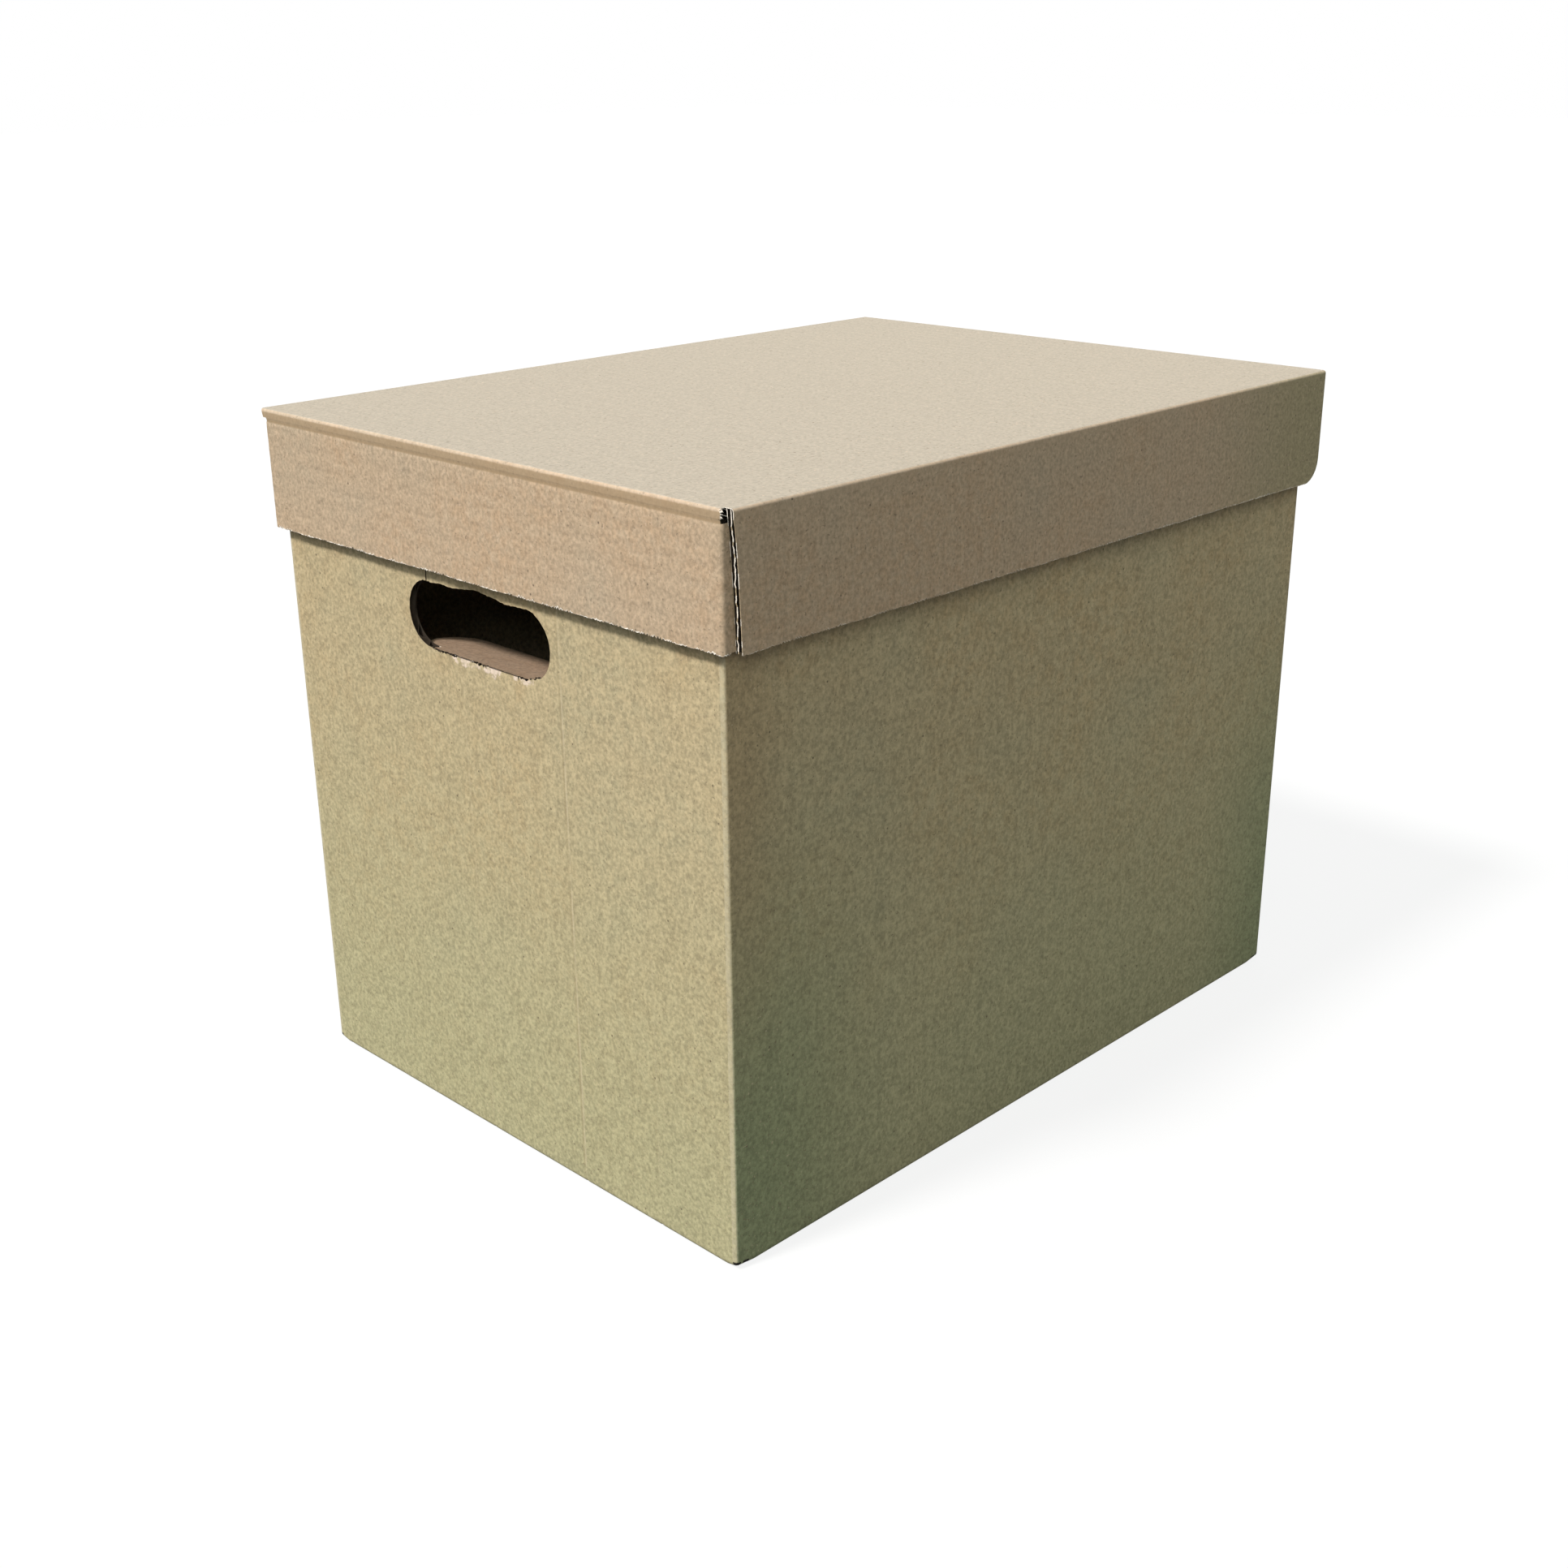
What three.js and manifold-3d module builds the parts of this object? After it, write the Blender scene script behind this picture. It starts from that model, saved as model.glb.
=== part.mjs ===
// A corrugated document box with a lift-off lid, in millimetres, +Z up.
// The origin is at the bottom centre, X runs along the length, and the front end wall faces -X.
// Body and lid are two die-cut, folded blanks. Each panel between two creases is one mesh.
import * as THREE from "three";
import { mergeVertices } from "three/addons/utils/BufferGeometryUtils.js";
import Module from "manifold-3d";

const wasm = await Module();
wasm.setup();

// Driving dimensions
const lidLength = 425;
const lidWidth = 318;
const overallHeight = 334;
const lidSkirtDepth = 57;
const board = 3.8; // thickness of the corrugated board

// Folds and clearances
const foldRadius = 3; // outer radius where the board is folded
const foldGap = 0.3; // between two panels joined by a crease
const layerGap = 0.3; // between bottom flaps that lie on each other
const glueGap = 0.1; // between two boards glued face to face
const lidClearance = 0.4; // between the lid's walls or tabs and the body
const rimGap = 0.3; // between the body's rim and the lid's top panel
const flapSideGap = 1.5; // between a bottom flap's side edge and the walls

// Hand holes in the end walls, and the flaps that were pushed in from them
const handHoleLength = 100;
const handHoleHeight = 31;
const handHoleDrop = 58.9; // from the body's rim down to the hole
const handHoleOffset = 4.3; // from the middle of each end wall to the hole's middle
const kerf = 0.3; // between the hole's cut edge and the closed flap
const creaseHalfAngle = THREE.MathUtils.degToRad(50); // of the groove that lets the flap fold
const flapFoldAngle = THREE.MathUtils.degToRad(97); // from closed to pushed in
const flapCornerClearance = 0.8; // from the board's thickness to the flap's full width

// Lid details
const scoreDrop = 5.4; // from the lid's top to the end walls' second score
const scoreWidth = 1.8;
const scoreDepth = 0.5;
const reliefWidth = 4.8; // of the open corner beside the end wall's fold
const reliefDrop = 8;
const sideSetbackTop = 3; // from the lid's end to the side wall's raw end
const sideSetbackBottom = 6.4;
const cornerTabLength = 52;
const cornerTabInset = 1.2; // from the skirt's bottom edge to the tab
const cornerTabSlope = 9; // how much the tab's free end leans back at the bottom

// Glue joint of the body's rear left corner
const glueTabWidth = 36;
const glueTabInset = 3; // from the rim and from the bottom flaps to the tab
const glueTabSlope = 7;
const rawEndSetback = 0.5; // from the rear wall's outer face to the side wall's raw end

// Snap-lock bottom
const mainFlapDepth = 182;
const rampRun = 38; // how far the tongue takes to climb through the notch
const rampLead = 3.3; // from the lock flap's crease to the main flap's edge
const notchClearance = 4;
const notchFlare = 6; // how much wider the notch is at the main flap's edge
const tongueWidth = 96;
const tongueReach = 40; // how far the tongue lies over the main flap
const tongueTaper = 10;
const endFlapClearance = 6; // from the end flaps to the tongue

// Outlines of the bottom flaps, in shares of their half length and of their depth
const endFlapShares = [
  [-1, 0],
  [1, 0],
  [0.93, 0.46],
  [0.26, 0.7],
  [0.1, 1],
  [-1, 1],
];
const mainFlapEdgeShare = 0.95;
const lockFlapShares = [
  [-1, 0],
  [1, 0],
  [0.93, 0.45],
  [0.5, 1],
  [-0.5, 1],
  [-0.93, 0.45],
];

// Modelling values
const overrun = 2; // how far a cutter runs past what it cuts
const weldDistance = 0.0005;
const arcSteps = 6;

// Derived sizes
const bodyLength = lidLength - 2 * (board + lidClearance);
const bodyWidth = lidWidth - 2 * (2 * board + glueGap + lidClearance);
const bodyHeight = overallHeight - board - rimGap;
const insideLength = bodyLength - 2 * board;
const insideWidth = bodyWidth - 2 * board;
const flapStart = board + foldGap; // from a wall's outer face to a flap or tab folded in from it
const flapPitch = board + layerGap; // between the bottom flaps' layers
const floorHeight = 3 * flapPitch;
const skirtBottom = overallHeight - lidSkirtDepth;
const lidWallTop = overallHeight - board - foldGap;
const lidWallHeight = lidWallTop - skirtBottom;
const handHoleRadius = handHoleHeight / 2;
const handHoleHalfStraight = handHoleLength / 2 - handHoleRadius;
const handHoleBottom = bodyHeight - handHoleDrop - handHoleHeight;
const endFlapDepth = (insideLength - tongueWidth) / 2 - endFlapClearance;
const lockFlapDepth = insideWidth - mainFlapDepth - rampLead;
const notchDepth = rampLead + rampRun + notchClearance;

// A wall's own frame has x along the wall, y inwards from its outer face and z up.
const rightTurn = 0;
const frontTurn = -Math.PI / 2;
const rearTurn = Math.PI / 2;
const leftTurn = Math.PI;

const bodyBoard = new THREE.MeshStandardMaterial({ color: 0xbda67c, roughness: 0.9, metalness: 0 });
const lidBoard = new THREE.MeshStandardMaterial({ color: 0xc6a986, roughness: 0.9, metalness: 0 });
const flapBoard = new THREE.MeshStandardMaterial({ color: 0xb0906f, roughness: 0.92, metalness: 0 });

function solidOf(geometry) {
  const bare = geometry.index ? geometry.toNonIndexed() : geometry.clone();
  bare.deleteAttribute("normal");
  bare.deleteAttribute("uv");
  const merged = mergeVertices(bare, weldDistance);
  return new wasm.Manifold(
    new wasm.Mesh({
      numProp: 3,
      vertProperties: merged.attributes.position.array,
      triVerts: new Uint32Array(merged.index.array),
    }),
  );
}

function geometryOf(solid) {
  const mesh = solid.getMesh();
  const geometry = new THREE.BufferGeometry();
  geometry.setAttribute("position", new THREE.BufferAttribute(mesh.vertProperties, mesh.numProp));
  geometry.setIndex(new THREE.BufferAttribute(mesh.triVerts, 1));
  const flat = geometry.toNonIndexed();
  flat.computeVertexNormals();
  return flat;
}

const outline = (points) => new THREE.Shape(points.map(([x, y]) => new THREE.Vector2(x, y)));

// A prism over an outline in x and y, rising from z = 0.
function prismUp(points, height) {
  return new THREE.ExtrudeGeometry(outline(points), { depth: height, bevelEnabled: false });
}

// A prism over an outline in y and z, running along x and centred on x = 0.
function prismAlong(points, length) {
  const geometry = prismUp(points, length).translate(0, 0, -length / 2);
  const axes = new THREE.Matrix4().makeBasis(
    new THREE.Vector3(0, 1, 0),
    new THREE.Vector3(0, 0, 1),
    new THREE.Vector3(1, 0, 0),
  );
  return geometry.applyMatrix4(axes);
}

// A prism over an outline in x and z, running inwards from y = start.
function prismInwards(points, thickness, start) {
  const axes = new THREE.Matrix4().makeBasis(
    new THREE.Vector3(1, 0, 0),
    new THREE.Vector3(0, 0, 1),
    new THREE.Vector3(0, -1, 0),
  );
  return prismUp(points, thickness).applyMatrix4(axes).translate(0, start + thickness, 0);
}

function arcPoints(x, y, radius, from, to) {
  const arc = new THREE.ArcCurve(x, y, radius, from, to, false);
  return arc.getPoints(arcSteps).map((p) => [p.x, p.y]);
}

// Each wall end gives its plan outline from the outer face to the inner face, for the end towards +x.
// A fold is mitred, so that it shares its rounded corner with the next wall.
function foldedEnd(x) {
  const halfGap = foldGap / 2;
  const reach = Math.sqrt(foldRadius ** 2 - halfGap ** 2);
  const mitre = Math.atan2(-(reach + halfGap), reach - halfGap);
  return [
    ...arcPoints(x - foldRadius, foldRadius, foldRadius, -Math.PI / 2, mitre),
    [x - board - foldGap / Math.SQRT2, board],
  ];
}

function tabEnd(x) {
  return [...arcPoints(x - foldRadius, foldRadius, foldRadius, -Math.PI / 2, 0), [x, board]];
}

function rawEnd(x) {
  return [
    [x, 0],
    [x, board],
  ];
}

function wallPlan(plusEnd, minusEnd) {
  const mirrored = minusEnd.map(([x, y]) => [-x, y]).reverse();
  return [...plusEnd, ...mirrored];
}

// A body wall stands on z = 0 with its outer bottom edge rounded by the fold into its bottom flap.
function bodyWall(plan, length) {
  const profile = [
    ...arcPoints(foldRadius, foldRadius, foldRadius, Math.PI, 1.5 * Math.PI),
    [board, 0],
    [board, bodyHeight],
    [0, bodyHeight],
  ];
  const upright = solidOf(prismUp(plan, bodyHeight));
  return upright.intersect(solidOf(prismAlong(profile, length)));
}

// Half the hand hole's width at a height above its bottom edge, below its widest point.
function handHoleHalfWidth(height) {
  return handHoleHalfStraight + Math.sqrt(handHoleRadius ** 2 - (handHoleRadius - height) ** 2);
}

function handHoleOutline() {
  const centre = handHoleBottom + handHoleRadius;
  const quarter = Math.PI / 2;
  return [
    ...arcPoints(handHoleHalfStraight, centre, handHoleRadius, -quarter, 0),
    ...arcPoints(handHoleHalfStraight, centre, handHoleRadius, 0, quarter).slice(1),
    ...arcPoints(-handHoleHalfStraight, centre, handHoleRadius, quarter, 2 * quarter),
    ...arcPoints(-handHoleHalfStraight, centre, handHoleRadius, 2 * quarter, 3 * quarter).slice(1),
  ];
}

// An end wall has the hand hole, and a groove under it that the folded flap's edge turns into.
function endWall(plan) {
  const hole = prismInwards(handHoleOutline(), board + 2 * overrun, -overrun);
  hole.translate(-handHoleOffset, 0, 0);
  const past = board + overrun;
  const groove = [
    [0, handHoleBottom],
    [past, handHoleBottom - past * Math.tan(creaseHalfAngle)],
    [past, handHoleBottom + overrun],
    [0, handHoleBottom + overrun],
  ];
  const cut = prismAlong(groove, 2 * handHoleHalfStraight).translate(-handHoleOffset, 0, 0);
  return geometryOf(bodyWall(plan, bodyWidth).subtract(solidOf(hole)).subtract(solidOf(cut)));
}

// The flap is drawn closed, with its crease on z = 0, and fills the hand hole but for the kerf.
// Its lower corners are drawn in, so that they pass the hole's edge while the flap swings.
function handHoleFlap() {
  const hingeHalf = handHoleHalfStraight - kerf;
  const shoulder = board + flapCornerClearance;
  const corner = [];
  for (let step = 0; step <= arcSteps; step++) {
    const height = THREE.MathUtils.lerp(shoulder, handHoleRadius, step / arcSteps);
    const passing = Math.sqrt(height ** 2 - board ** 2);
    corner.push([handHoleHalfWidth(passing) - kerf, height]);
  }
  const top = arcPoints(handHoleHalfStraight, handHoleRadius, handHoleRadius - kerf, 0, Math.PI / 2);
  const half = [[hingeHalf, kerf], [hingeHalf, shoulder], ...corner, ...top.slice(1)];
  const mirrored = half.map(([x, z]) => [-x, z]).reverse();
  const plate = solidOf(prismInwards([...half, ...mirrored], board, 0));
  const past = board + overrun;
  const bevel = [
    [0, kerf],
    [0, kerf - overrun],
    [past, kerf - overrun],
    [past, kerf + past * Math.tan(creaseHalfAngle)],
  ];
  return geometryOf(plate.subtract(solidOf(prismAlong(bevel, handHoleLength))));
}

function bottomFlap(points) {
  return prismUp(points, board);
}

function endFlapPoints(lockSide) {
  const half = insideWidth / 2 - flapSideGap;
  return endFlapShares.map(([along, inwards]) => [lockSide * along * half, inwards * endFlapDepth]);
}

function mainFlapPoints() {
  const half = insideLength / 2 - flapSideGap;
  const notchHalf = tongueWidth / 2 + notchClearance;
  const right = [
    [half, 0],
    [half * mainFlapEdgeShare, mainFlapDepth],
    [notchHalf + notchFlare, mainFlapDepth],
    [notchHalf, mainFlapDepth - notchDepth],
  ];
  return [...right, ...right.map(([x, y]) => [-x, y]).reverse()];
}

function lockFlapPoints() {
  const half = insideLength / 2 - flapSideGap;
  return lockFlapShares.map(([along, inwards]) => [along * half, inwards * lockFlapDepth]);
}

// The tongue climbs from the lock flap through the notch and lies on the main flap.
function lockTongue() {
  const length = rampRun + tongueReach;
  const half = tongueWidth / 2;
  const plan = [
    [-half, 0],
    [half, 0],
    [half, rampRun],
    [half - tongueTaper, length],
    [tongueTaper - half, length],
    [-half, rampRun],
  ];
  const profile = [
    [0, 0],
    [rampRun, floorHeight],
    [length, floorHeight],
    [length, floorHeight + board],
    [rampRun, floorHeight + board],
    [0, board],
  ];
  const outlined = solidOf(prismUp(plan, floorHeight + board));
  return geometryOf(outlined.intersect(solidOf(prismAlong(profile, tongueWidth))));
}

// A tab hanging in the y and z plane, whose free end leans back towards the bottom and the top.
function tab(length, height, bottomSlope, topSlope) {
  const points = [
    [0, 0],
    [length - bottomSlope, 0],
    [length, bottomSlope],
    [length, height - topSlope],
    [length - topSlope, height],
    [0, height],
  ];
  return prismAlong(points, board);
}

// The lid's top panel, centred, with its upper edges rounded by the folds.
function lidTopPanel() {
  const profile = (width) => [
    [-width / 2, -board],
    [width / 2, -board],
    ...arcPoints(width / 2 - foldRadius, -foldRadius, foldRadius, 0, Math.PI / 2),
    ...arcPoints(foldRadius - width / 2, -foldRadius, foldRadius, Math.PI / 2, Math.PI),
  ];
  const lengthwise = solidOf(prismAlong(profile(lidWidth), lidLength));
  const crosswise = solidOf(prismAlong(profile(lidLength), lidWidth).rotateZ(Math.PI / 2));
  return geometryOf(lengthwise.intersect(crosswise));
}

// A lid end wall stands between the side walls, with a second score and an open corner at each end.
function lidEndWall() {
  const half = lidWidth / 2 - board - glueGap;
  const wall = solidOf(prismUp(wallPlan(tabEnd(half), tabEnd(half)), lidWallHeight));
  const scoreHeight = lidSkirtDepth - scoreDrop;
  const score = [
    [-scoreDepth, scoreHeight - scoreWidth],
    [scoreDepth, scoreHeight],
    [-scoreDepth, scoreHeight + scoreWidth],
  ];
  const reliefHeight = lidWallHeight - (lidSkirtDepth - reliefDrop);
  const relief = new THREE.BoxGeometry(2 * reliefWidth, board + 2 * overrun, 2 * reliefHeight);
  let cutWall = wall.subtract(solidOf(prismAlong(score, lidWidth)));
  for (const end of [half, -half]) {
    cutWall = cutWall.subtract(solidOf(relief.clone().translate(end, board / 2, lidWallHeight)));
  }
  return geometryOf(cutWall);
}

function lidSideWall() {
  const top = lidLength / 2 - sideSetbackTop;
  const bottom = lidLength / 2 - sideSetbackBottom;
  const points = [
    [-bottom, 0],
    [bottom, 0],
    [top, lidWallHeight],
    [-top, lidWallHeight],
  ];
  return prismInwards(points, board, 0);
}

function addPiece(parent, name, geometry, material, x, y, z) {
  const mesh = new THREE.Mesh(geometry, material);
  mesh.name = name;
  mesh.position.set(x, y, z);
  parent.add(mesh);
}

function addWallFrame(parent, turn) {
  const frame = new THREE.Group();
  frame.rotation.z = turn;
  parent.add(frame);
  return frame;
}

function addBody(box) {
  const right = addWallFrame(box, rightTurn);
  const left = addWallFrame(box, leftTurn);
  const front = addWallFrame(box, frontTurn);
  const rear = addWallFrame(box, rearTurn);
  const outLong = -bodyWidth / 2;
  const outShort = -bodyLength / 2;

  const foldLong = foldedEnd(bodyLength / 2);
  const foldShort = foldedEnd(bodyWidth / 2);
  const rawLong = rawEnd(bodyLength / 2 - rawEndSetback);
  const tabShort = tabEnd(bodyWidth / 2 - board - glueGap);
  const rightWall = geometryOf(bodyWall(wallPlan(foldLong, foldLong), bodyLength));
  const leftWall = geometryOf(bodyWall(wallPlan(foldLong, rawLong), bodyLength));
  addPiece(right, "right_side_wall", rightWall, bodyBoard, 0, outLong, 0);
  addPiece(left, "left_side_wall", leftWall, bodyBoard, 0, outLong, 0);
  addPiece(front, "front_end_wall", endWall(wallPlan(foldShort, foldShort)), bodyBoard, 0, outShort, 0);
  addPiece(rear, "rear_end_wall", endWall(wallPlan(tabShort, foldShort)), bodyBoard, 0, outShort, 0);

  const tabStart = floorHeight + glueTabInset;
  const tabHeight = bodyHeight - glueTabInset - tabStart;
  const glueTab = tab(glueTabWidth - flapStart, tabHeight, glueTabSlope, glueTabSlope);
  const glueTabX = bodyWidth / 2 - board - glueGap - board / 2;
  addPiece(rear, "glue_tab", glueTab, bodyBoard, glueTabX, outShort + flapStart, tabStart);

  const lockFlap = bottomFlap(lockFlapPoints());
  const mainFlap = bottomFlap(mainFlapPoints());
  const frontFlap = bottomFlap(endFlapPoints(1));
  const rearFlap = bottomFlap(endFlapPoints(-1));
  const tongueStart = outLong + flapStart + lockFlapDepth + foldGap;
  addPiece(right, "lock_bottom_flap", lockFlap, bodyBoard, 0, outLong + flapStart, 0);
  addPiece(right, "bottom_lock_tongue", lockTongue(), bodyBoard, 0, tongueStart, 0);
  addPiece(front, "front_bottom_flap", frontFlap, bodyBoard, 0, outShort + flapStart, flapPitch);
  addPiece(rear, "rear_bottom_flap", rearFlap, bodyBoard, 0, outShort + flapStart, flapPitch);
  addPiece(left, "main_bottom_flap", mainFlap, bodyBoard, 0, outLong + flapStart, 2 * flapPitch);

  for (const [end, frame] of [
    ["front", front],
    ["rear", rear],
  ]) {
    const crease = new THREE.Group();
    crease.position.set(-handHoleOffset, outShort, handHoleBottom);
    crease.rotation.x = -flapFoldAngle;
    frame.add(crease);
    addPiece(crease, end + "_hand_hole_flap", handHoleFlap(), flapBoard, 0, 0, 0);
  }
}

function addLid(box) {
  const half = lidWidth / 2 - board - glueGap;
  addPiece(box, "lid_top_panel", lidTopPanel(), lidBoard, 0, 0, overallHeight);
  for (const [side, turn] of [
    ["right", rightTurn],
    ["left", leftTurn],
  ]) {
    const frame = addWallFrame(box, turn);
    const name = "lid_" + side + "_side_wall";
    addPiece(frame, name, lidSideWall(), lidBoard, 0, -lidWidth / 2, skirtBottom);
  }
  for (const [end, turn, plusSide, minusSide] of [
    ["front", frontTurn, "right", "left"],
    ["rear", rearTurn, "left", "right"],
  ]) {
    const frame = addWallFrame(box, turn);
    const outer = -lidLength / 2;
    addPiece(frame, "lid_" + end + "_end_wall", lidEndWall(), lidBoard, 0, outer, skirtBottom);
    for (const [side, sign] of [
      [plusSide, 1],
      [minusSide, -1],
    ]) {
      const height = lidWallHeight - cornerTabInset;
      const cornerTab = tab(cornerTabLength - flapStart, height, cornerTabSlope, 0);
      const name = "lid_" + end + "_" + side + "_corner_tab";
      const x = sign * (half - board / 2);
      addPiece(frame, name, cornerTab, lidBoard, x, outer + flapStart, skirtBottom + cornerTabInset);
    }
  }
}

const documentBox = new THREE.Group();
addBody(documentBox);
addLid(documentBox);

export default documentBox;
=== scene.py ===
import functools
import math
import random

import bmesh
import bpy
from mathutils import Matrix, Vector


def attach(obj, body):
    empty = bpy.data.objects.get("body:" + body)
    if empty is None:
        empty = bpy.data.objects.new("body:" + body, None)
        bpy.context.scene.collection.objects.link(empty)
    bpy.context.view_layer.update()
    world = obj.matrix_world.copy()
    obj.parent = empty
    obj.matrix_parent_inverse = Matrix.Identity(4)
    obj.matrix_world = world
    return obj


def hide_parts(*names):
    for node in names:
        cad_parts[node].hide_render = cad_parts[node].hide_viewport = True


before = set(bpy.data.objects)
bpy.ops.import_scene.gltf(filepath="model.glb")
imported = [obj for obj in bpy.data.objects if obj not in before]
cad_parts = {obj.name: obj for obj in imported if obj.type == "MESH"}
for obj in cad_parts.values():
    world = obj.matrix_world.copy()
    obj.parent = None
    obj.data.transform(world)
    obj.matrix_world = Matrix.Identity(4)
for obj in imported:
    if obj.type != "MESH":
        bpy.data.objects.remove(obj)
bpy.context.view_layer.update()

mm = 0.001

# The box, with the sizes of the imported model
lid_length = 425 * mm
lid_width = 318 * mm
overall_height = 334 * mm
skirt_depth = 57 * mm
board = 3.8 * mm
fold_radius = 1.5 * mm
foot_radius = 2.6 * mm
corner_radius = 2 * mm
fold_gap = 0.3 * mm
layer_gap = 0.3 * mm
glue_gap = 0.1 * mm
lid_clearance = 0.4 * mm
rim_gap = 0.3 * mm
flap_side_gap = 1.5 * mm
hole_length = 100 * mm
hole_height = 31 * mm
hole_drop = 58.9 * mm
hole_offset = 4.3 * mm
kerf = 0.3 * mm
groove_angle = math.radians(50)
fold_angle = math.radians(97)
score_drop = 5.4 * mm
score_width = 1.2 * mm
score_depth = 0.4 * mm
relief_width = 0.6 * mm
relief_drop = 6 * mm
setback_top = 3 * mm
setback_bottom = 6.4 * mm
far_setback = 1.5 * mm
far_corner = 12 * mm
corner_tab_length = 52 * mm
corner_tab_inset = 1.2 * mm
corner_tab_slope = 9 * mm
glue_tab_width = 36 * mm
glue_tab_inset = 3 * mm
glue_tab_slope = 7 * mm
raw_setback = 0.5 * mm
main_flap_depth = 182 * mm
ramp_run = 38 * mm
ramp_lead = 3.3 * mm
notch_clearance = 4 * mm
notch_flare = 6 * mm
tongue_width = 96 * mm
tongue_reach = 40 * mm
tongue_taper = 10 * mm
end_flap_clearance = 6 * mm
end_flap_shares = [(-1, 0), (1, 0), (0.93, 0.46), (0.26, 0.7), (0.1, 1), (-1, 1)]
lock_flap_shares = [(-1, 0), (1, 0), (0.93, 0.45), (0.5, 1), (-0.5, 1), (-0.93, 0.45)]
main_flap_edge_share = 0.95

# The board
flute_pitch = 7.9 * mm
flute_steps = 12
liner = 0.35 * mm
medium = 0.24 * mm
washboard = 0.06 * mm
fold_ease = 9 * mm
tooth_pitch = 1.6 * mm
tooth_depth = 1.3 * mm
end_fray = 0.42 * mm
side_fray = 0.14 * mm
corner_lift = 1.4 * mm
lift_height = 18 * mm
side_lift_run = 11 * mm
end_lift_run = 6.5 * mm
side_slot_run = 7 * mm
end_slot_run = 3 * mm
crush_reach = 1.6 * mm
seam_reach = 3 * mm
seam_crush = 0.35
lid_step = 0.4 * mm
wall_step = 1 * mm
arc_steps = 6
skirt_rows = 36
ridge_places = [18.1 * mm, -51.3 * mm, -102.6 * mm, 140.6 * mm]
ridge_strengths = [0.16, 0.5, 0.12, 0.12]
ridge_width = 1.1 * mm
ridge_depth = 0.22 * mm
slot_mouth = 2.4 * mm
hole_bump = 2 * mm
hole_bump_place = 1 * mm
hole_bump_half = 17 * mm
grain_height = 0.02 * mm
cast_middle = 15 * mm
cast_far = 220 * mm
nowhere = 2

# Places along the hand hole's crease, from the middle of the end wall, where the liner is stretched pale
stretched = [(16 * mm, 8 * mm), (-4 * mm, 9 * mm), (-26 * mm, 7 * mm)]

# Worked out from the sizes above
body_length = lid_length - 2 * (board + lid_clearance)
body_width = lid_width - 2 * (2 * board + glue_gap + lid_clearance)
body_height = overall_height - board - rim_gap
inside_length = body_length - 2 * board
inside_width = body_width - 2 * board
flap_start = board + fold_gap
flap_pitch = board + layer_gap
floor_height = 3 * flap_pitch
skirt_bottom = overall_height - skirt_depth
lid_wall_top = overall_height - board - fold_gap
lid_end_half = lid_width / 2 - board - glue_gap
hole_radius = hole_height / 2
hole_half = hole_length / 2 - hole_radius
hole_bottom = body_height - hole_drop - hole_height
end_flap_depth = (inside_length - tongue_width) / 2 - end_flap_clearance
lock_flap_depth = inside_width - main_flap_depth - ramp_lead
notch_depth = ramp_lead + ramp_run + notch_clearance
turns = {"right": 0, "front": -math.pi / 2, "rear": math.pi / 2, "left": math.pi}
flute_step = flute_pitch / flute_steps
sharp_angle = math.radians(38)
hair = 0.001 * mm
same = 2 * hair

# The looks of a panel's faces, and which the two sides of each layer have; SHADE is painted shade, a
# near-black finish for the hollows between the layers and for cut edges that sit in shade
OUTER, INNER, CUT, SHADE = 0, 1, 2, 3
sides = {"outer": (OUTER, SHADE), "medium": (SHADE, SHADE), "inner": (SHADE, INNER)}
frayed_sides = [(CUT, SHADE), (OUTER, SHADE)]
all_layers = ("outer", "medium", "inner")


def every(answer):
    """A function that gives the same answer for every layer or place."""
    return lambda asked: answer


def turned(turn, x, y, z):
    c, s = math.cos(turn), math.sin(turn)
    return (x * c - y * s, x * s + y * c, z)


def wander(value, seed, *lengths):
    """A smooth, repeatable wandering number between about -1 and 1."""
    waves = [math.sin(2 * math.pi * value / length + seed * (k + 1.7)) for k, length in enumerate(lengths)]
    return sum(waves) / len(lengths)


def teeth(value, seed):
    """How far a serrated cut stands back from its tips at a place along it."""
    shifted = value + 0.35 * tooth_pitch * wander(value, seed, 13 * mm, 5.3 * mm)
    saw = abs((shifted / tooth_pitch) % 1 - 0.5) * 2
    depth = tooth_depth * max(0.12, 0.55 - 0.6 * wander(value, seed + 3, 67 * mm, 29 * mm, 7.7 * mm))
    return depth * saw + 0.4 * mm * (1 + wander(value, seed + 1, 97 * mm, 61 * mm, 23 * mm)) / 2


def frayed_spans(low, top, p, seed, fray):
    """A wall's height over its serrated edge, with the frayed rim along the edge as a span of its own."""
    edge = low + teeth(p, seed)
    burst = wander(p, seed + 9, 23 * mm, 8.3 * mm, 3.1 * mm)
    torn = fray * max(0.12, 0.45 + 0.3 * wander(p, seed + 5, 2.9 * mm, 1.3 * mm) + 1.3 * burst)
    return [(edge, edge + torn), (edge + torn, top)]


def spread(low, high, step, *marks):
    """Stations from low to high, no further apart than step, with the marks among them."""
    ends = sorted({low, high, *[m for m in marks if low < m < high]})
    found = []
    for a, b in zip(ends, ends[1:]):
        count = max(1, math.ceil((b - a) / step - 0.001))
        found += [a + (b - a) * k / count for k in range(count)]
    return found + [high]


def crossings(points, at):
    """The spans of y inside an outline where x is at."""
    found = []
    for (x0, y0), (x1, y1) in zip(points, points[1:] + points[:1]):
        if (x0 <= at) != (x1 <= at):
            found.append(y0 + (at - x0) * (y1 - y0) / (x1 - x0))
    found.sort()
    return list(zip(found[::2], found[1::2]))


def merged(values):
    found = []
    for v in sorted(values):
        if not found or v - found[-1] > same:
            found.append(v)
    return found


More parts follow.
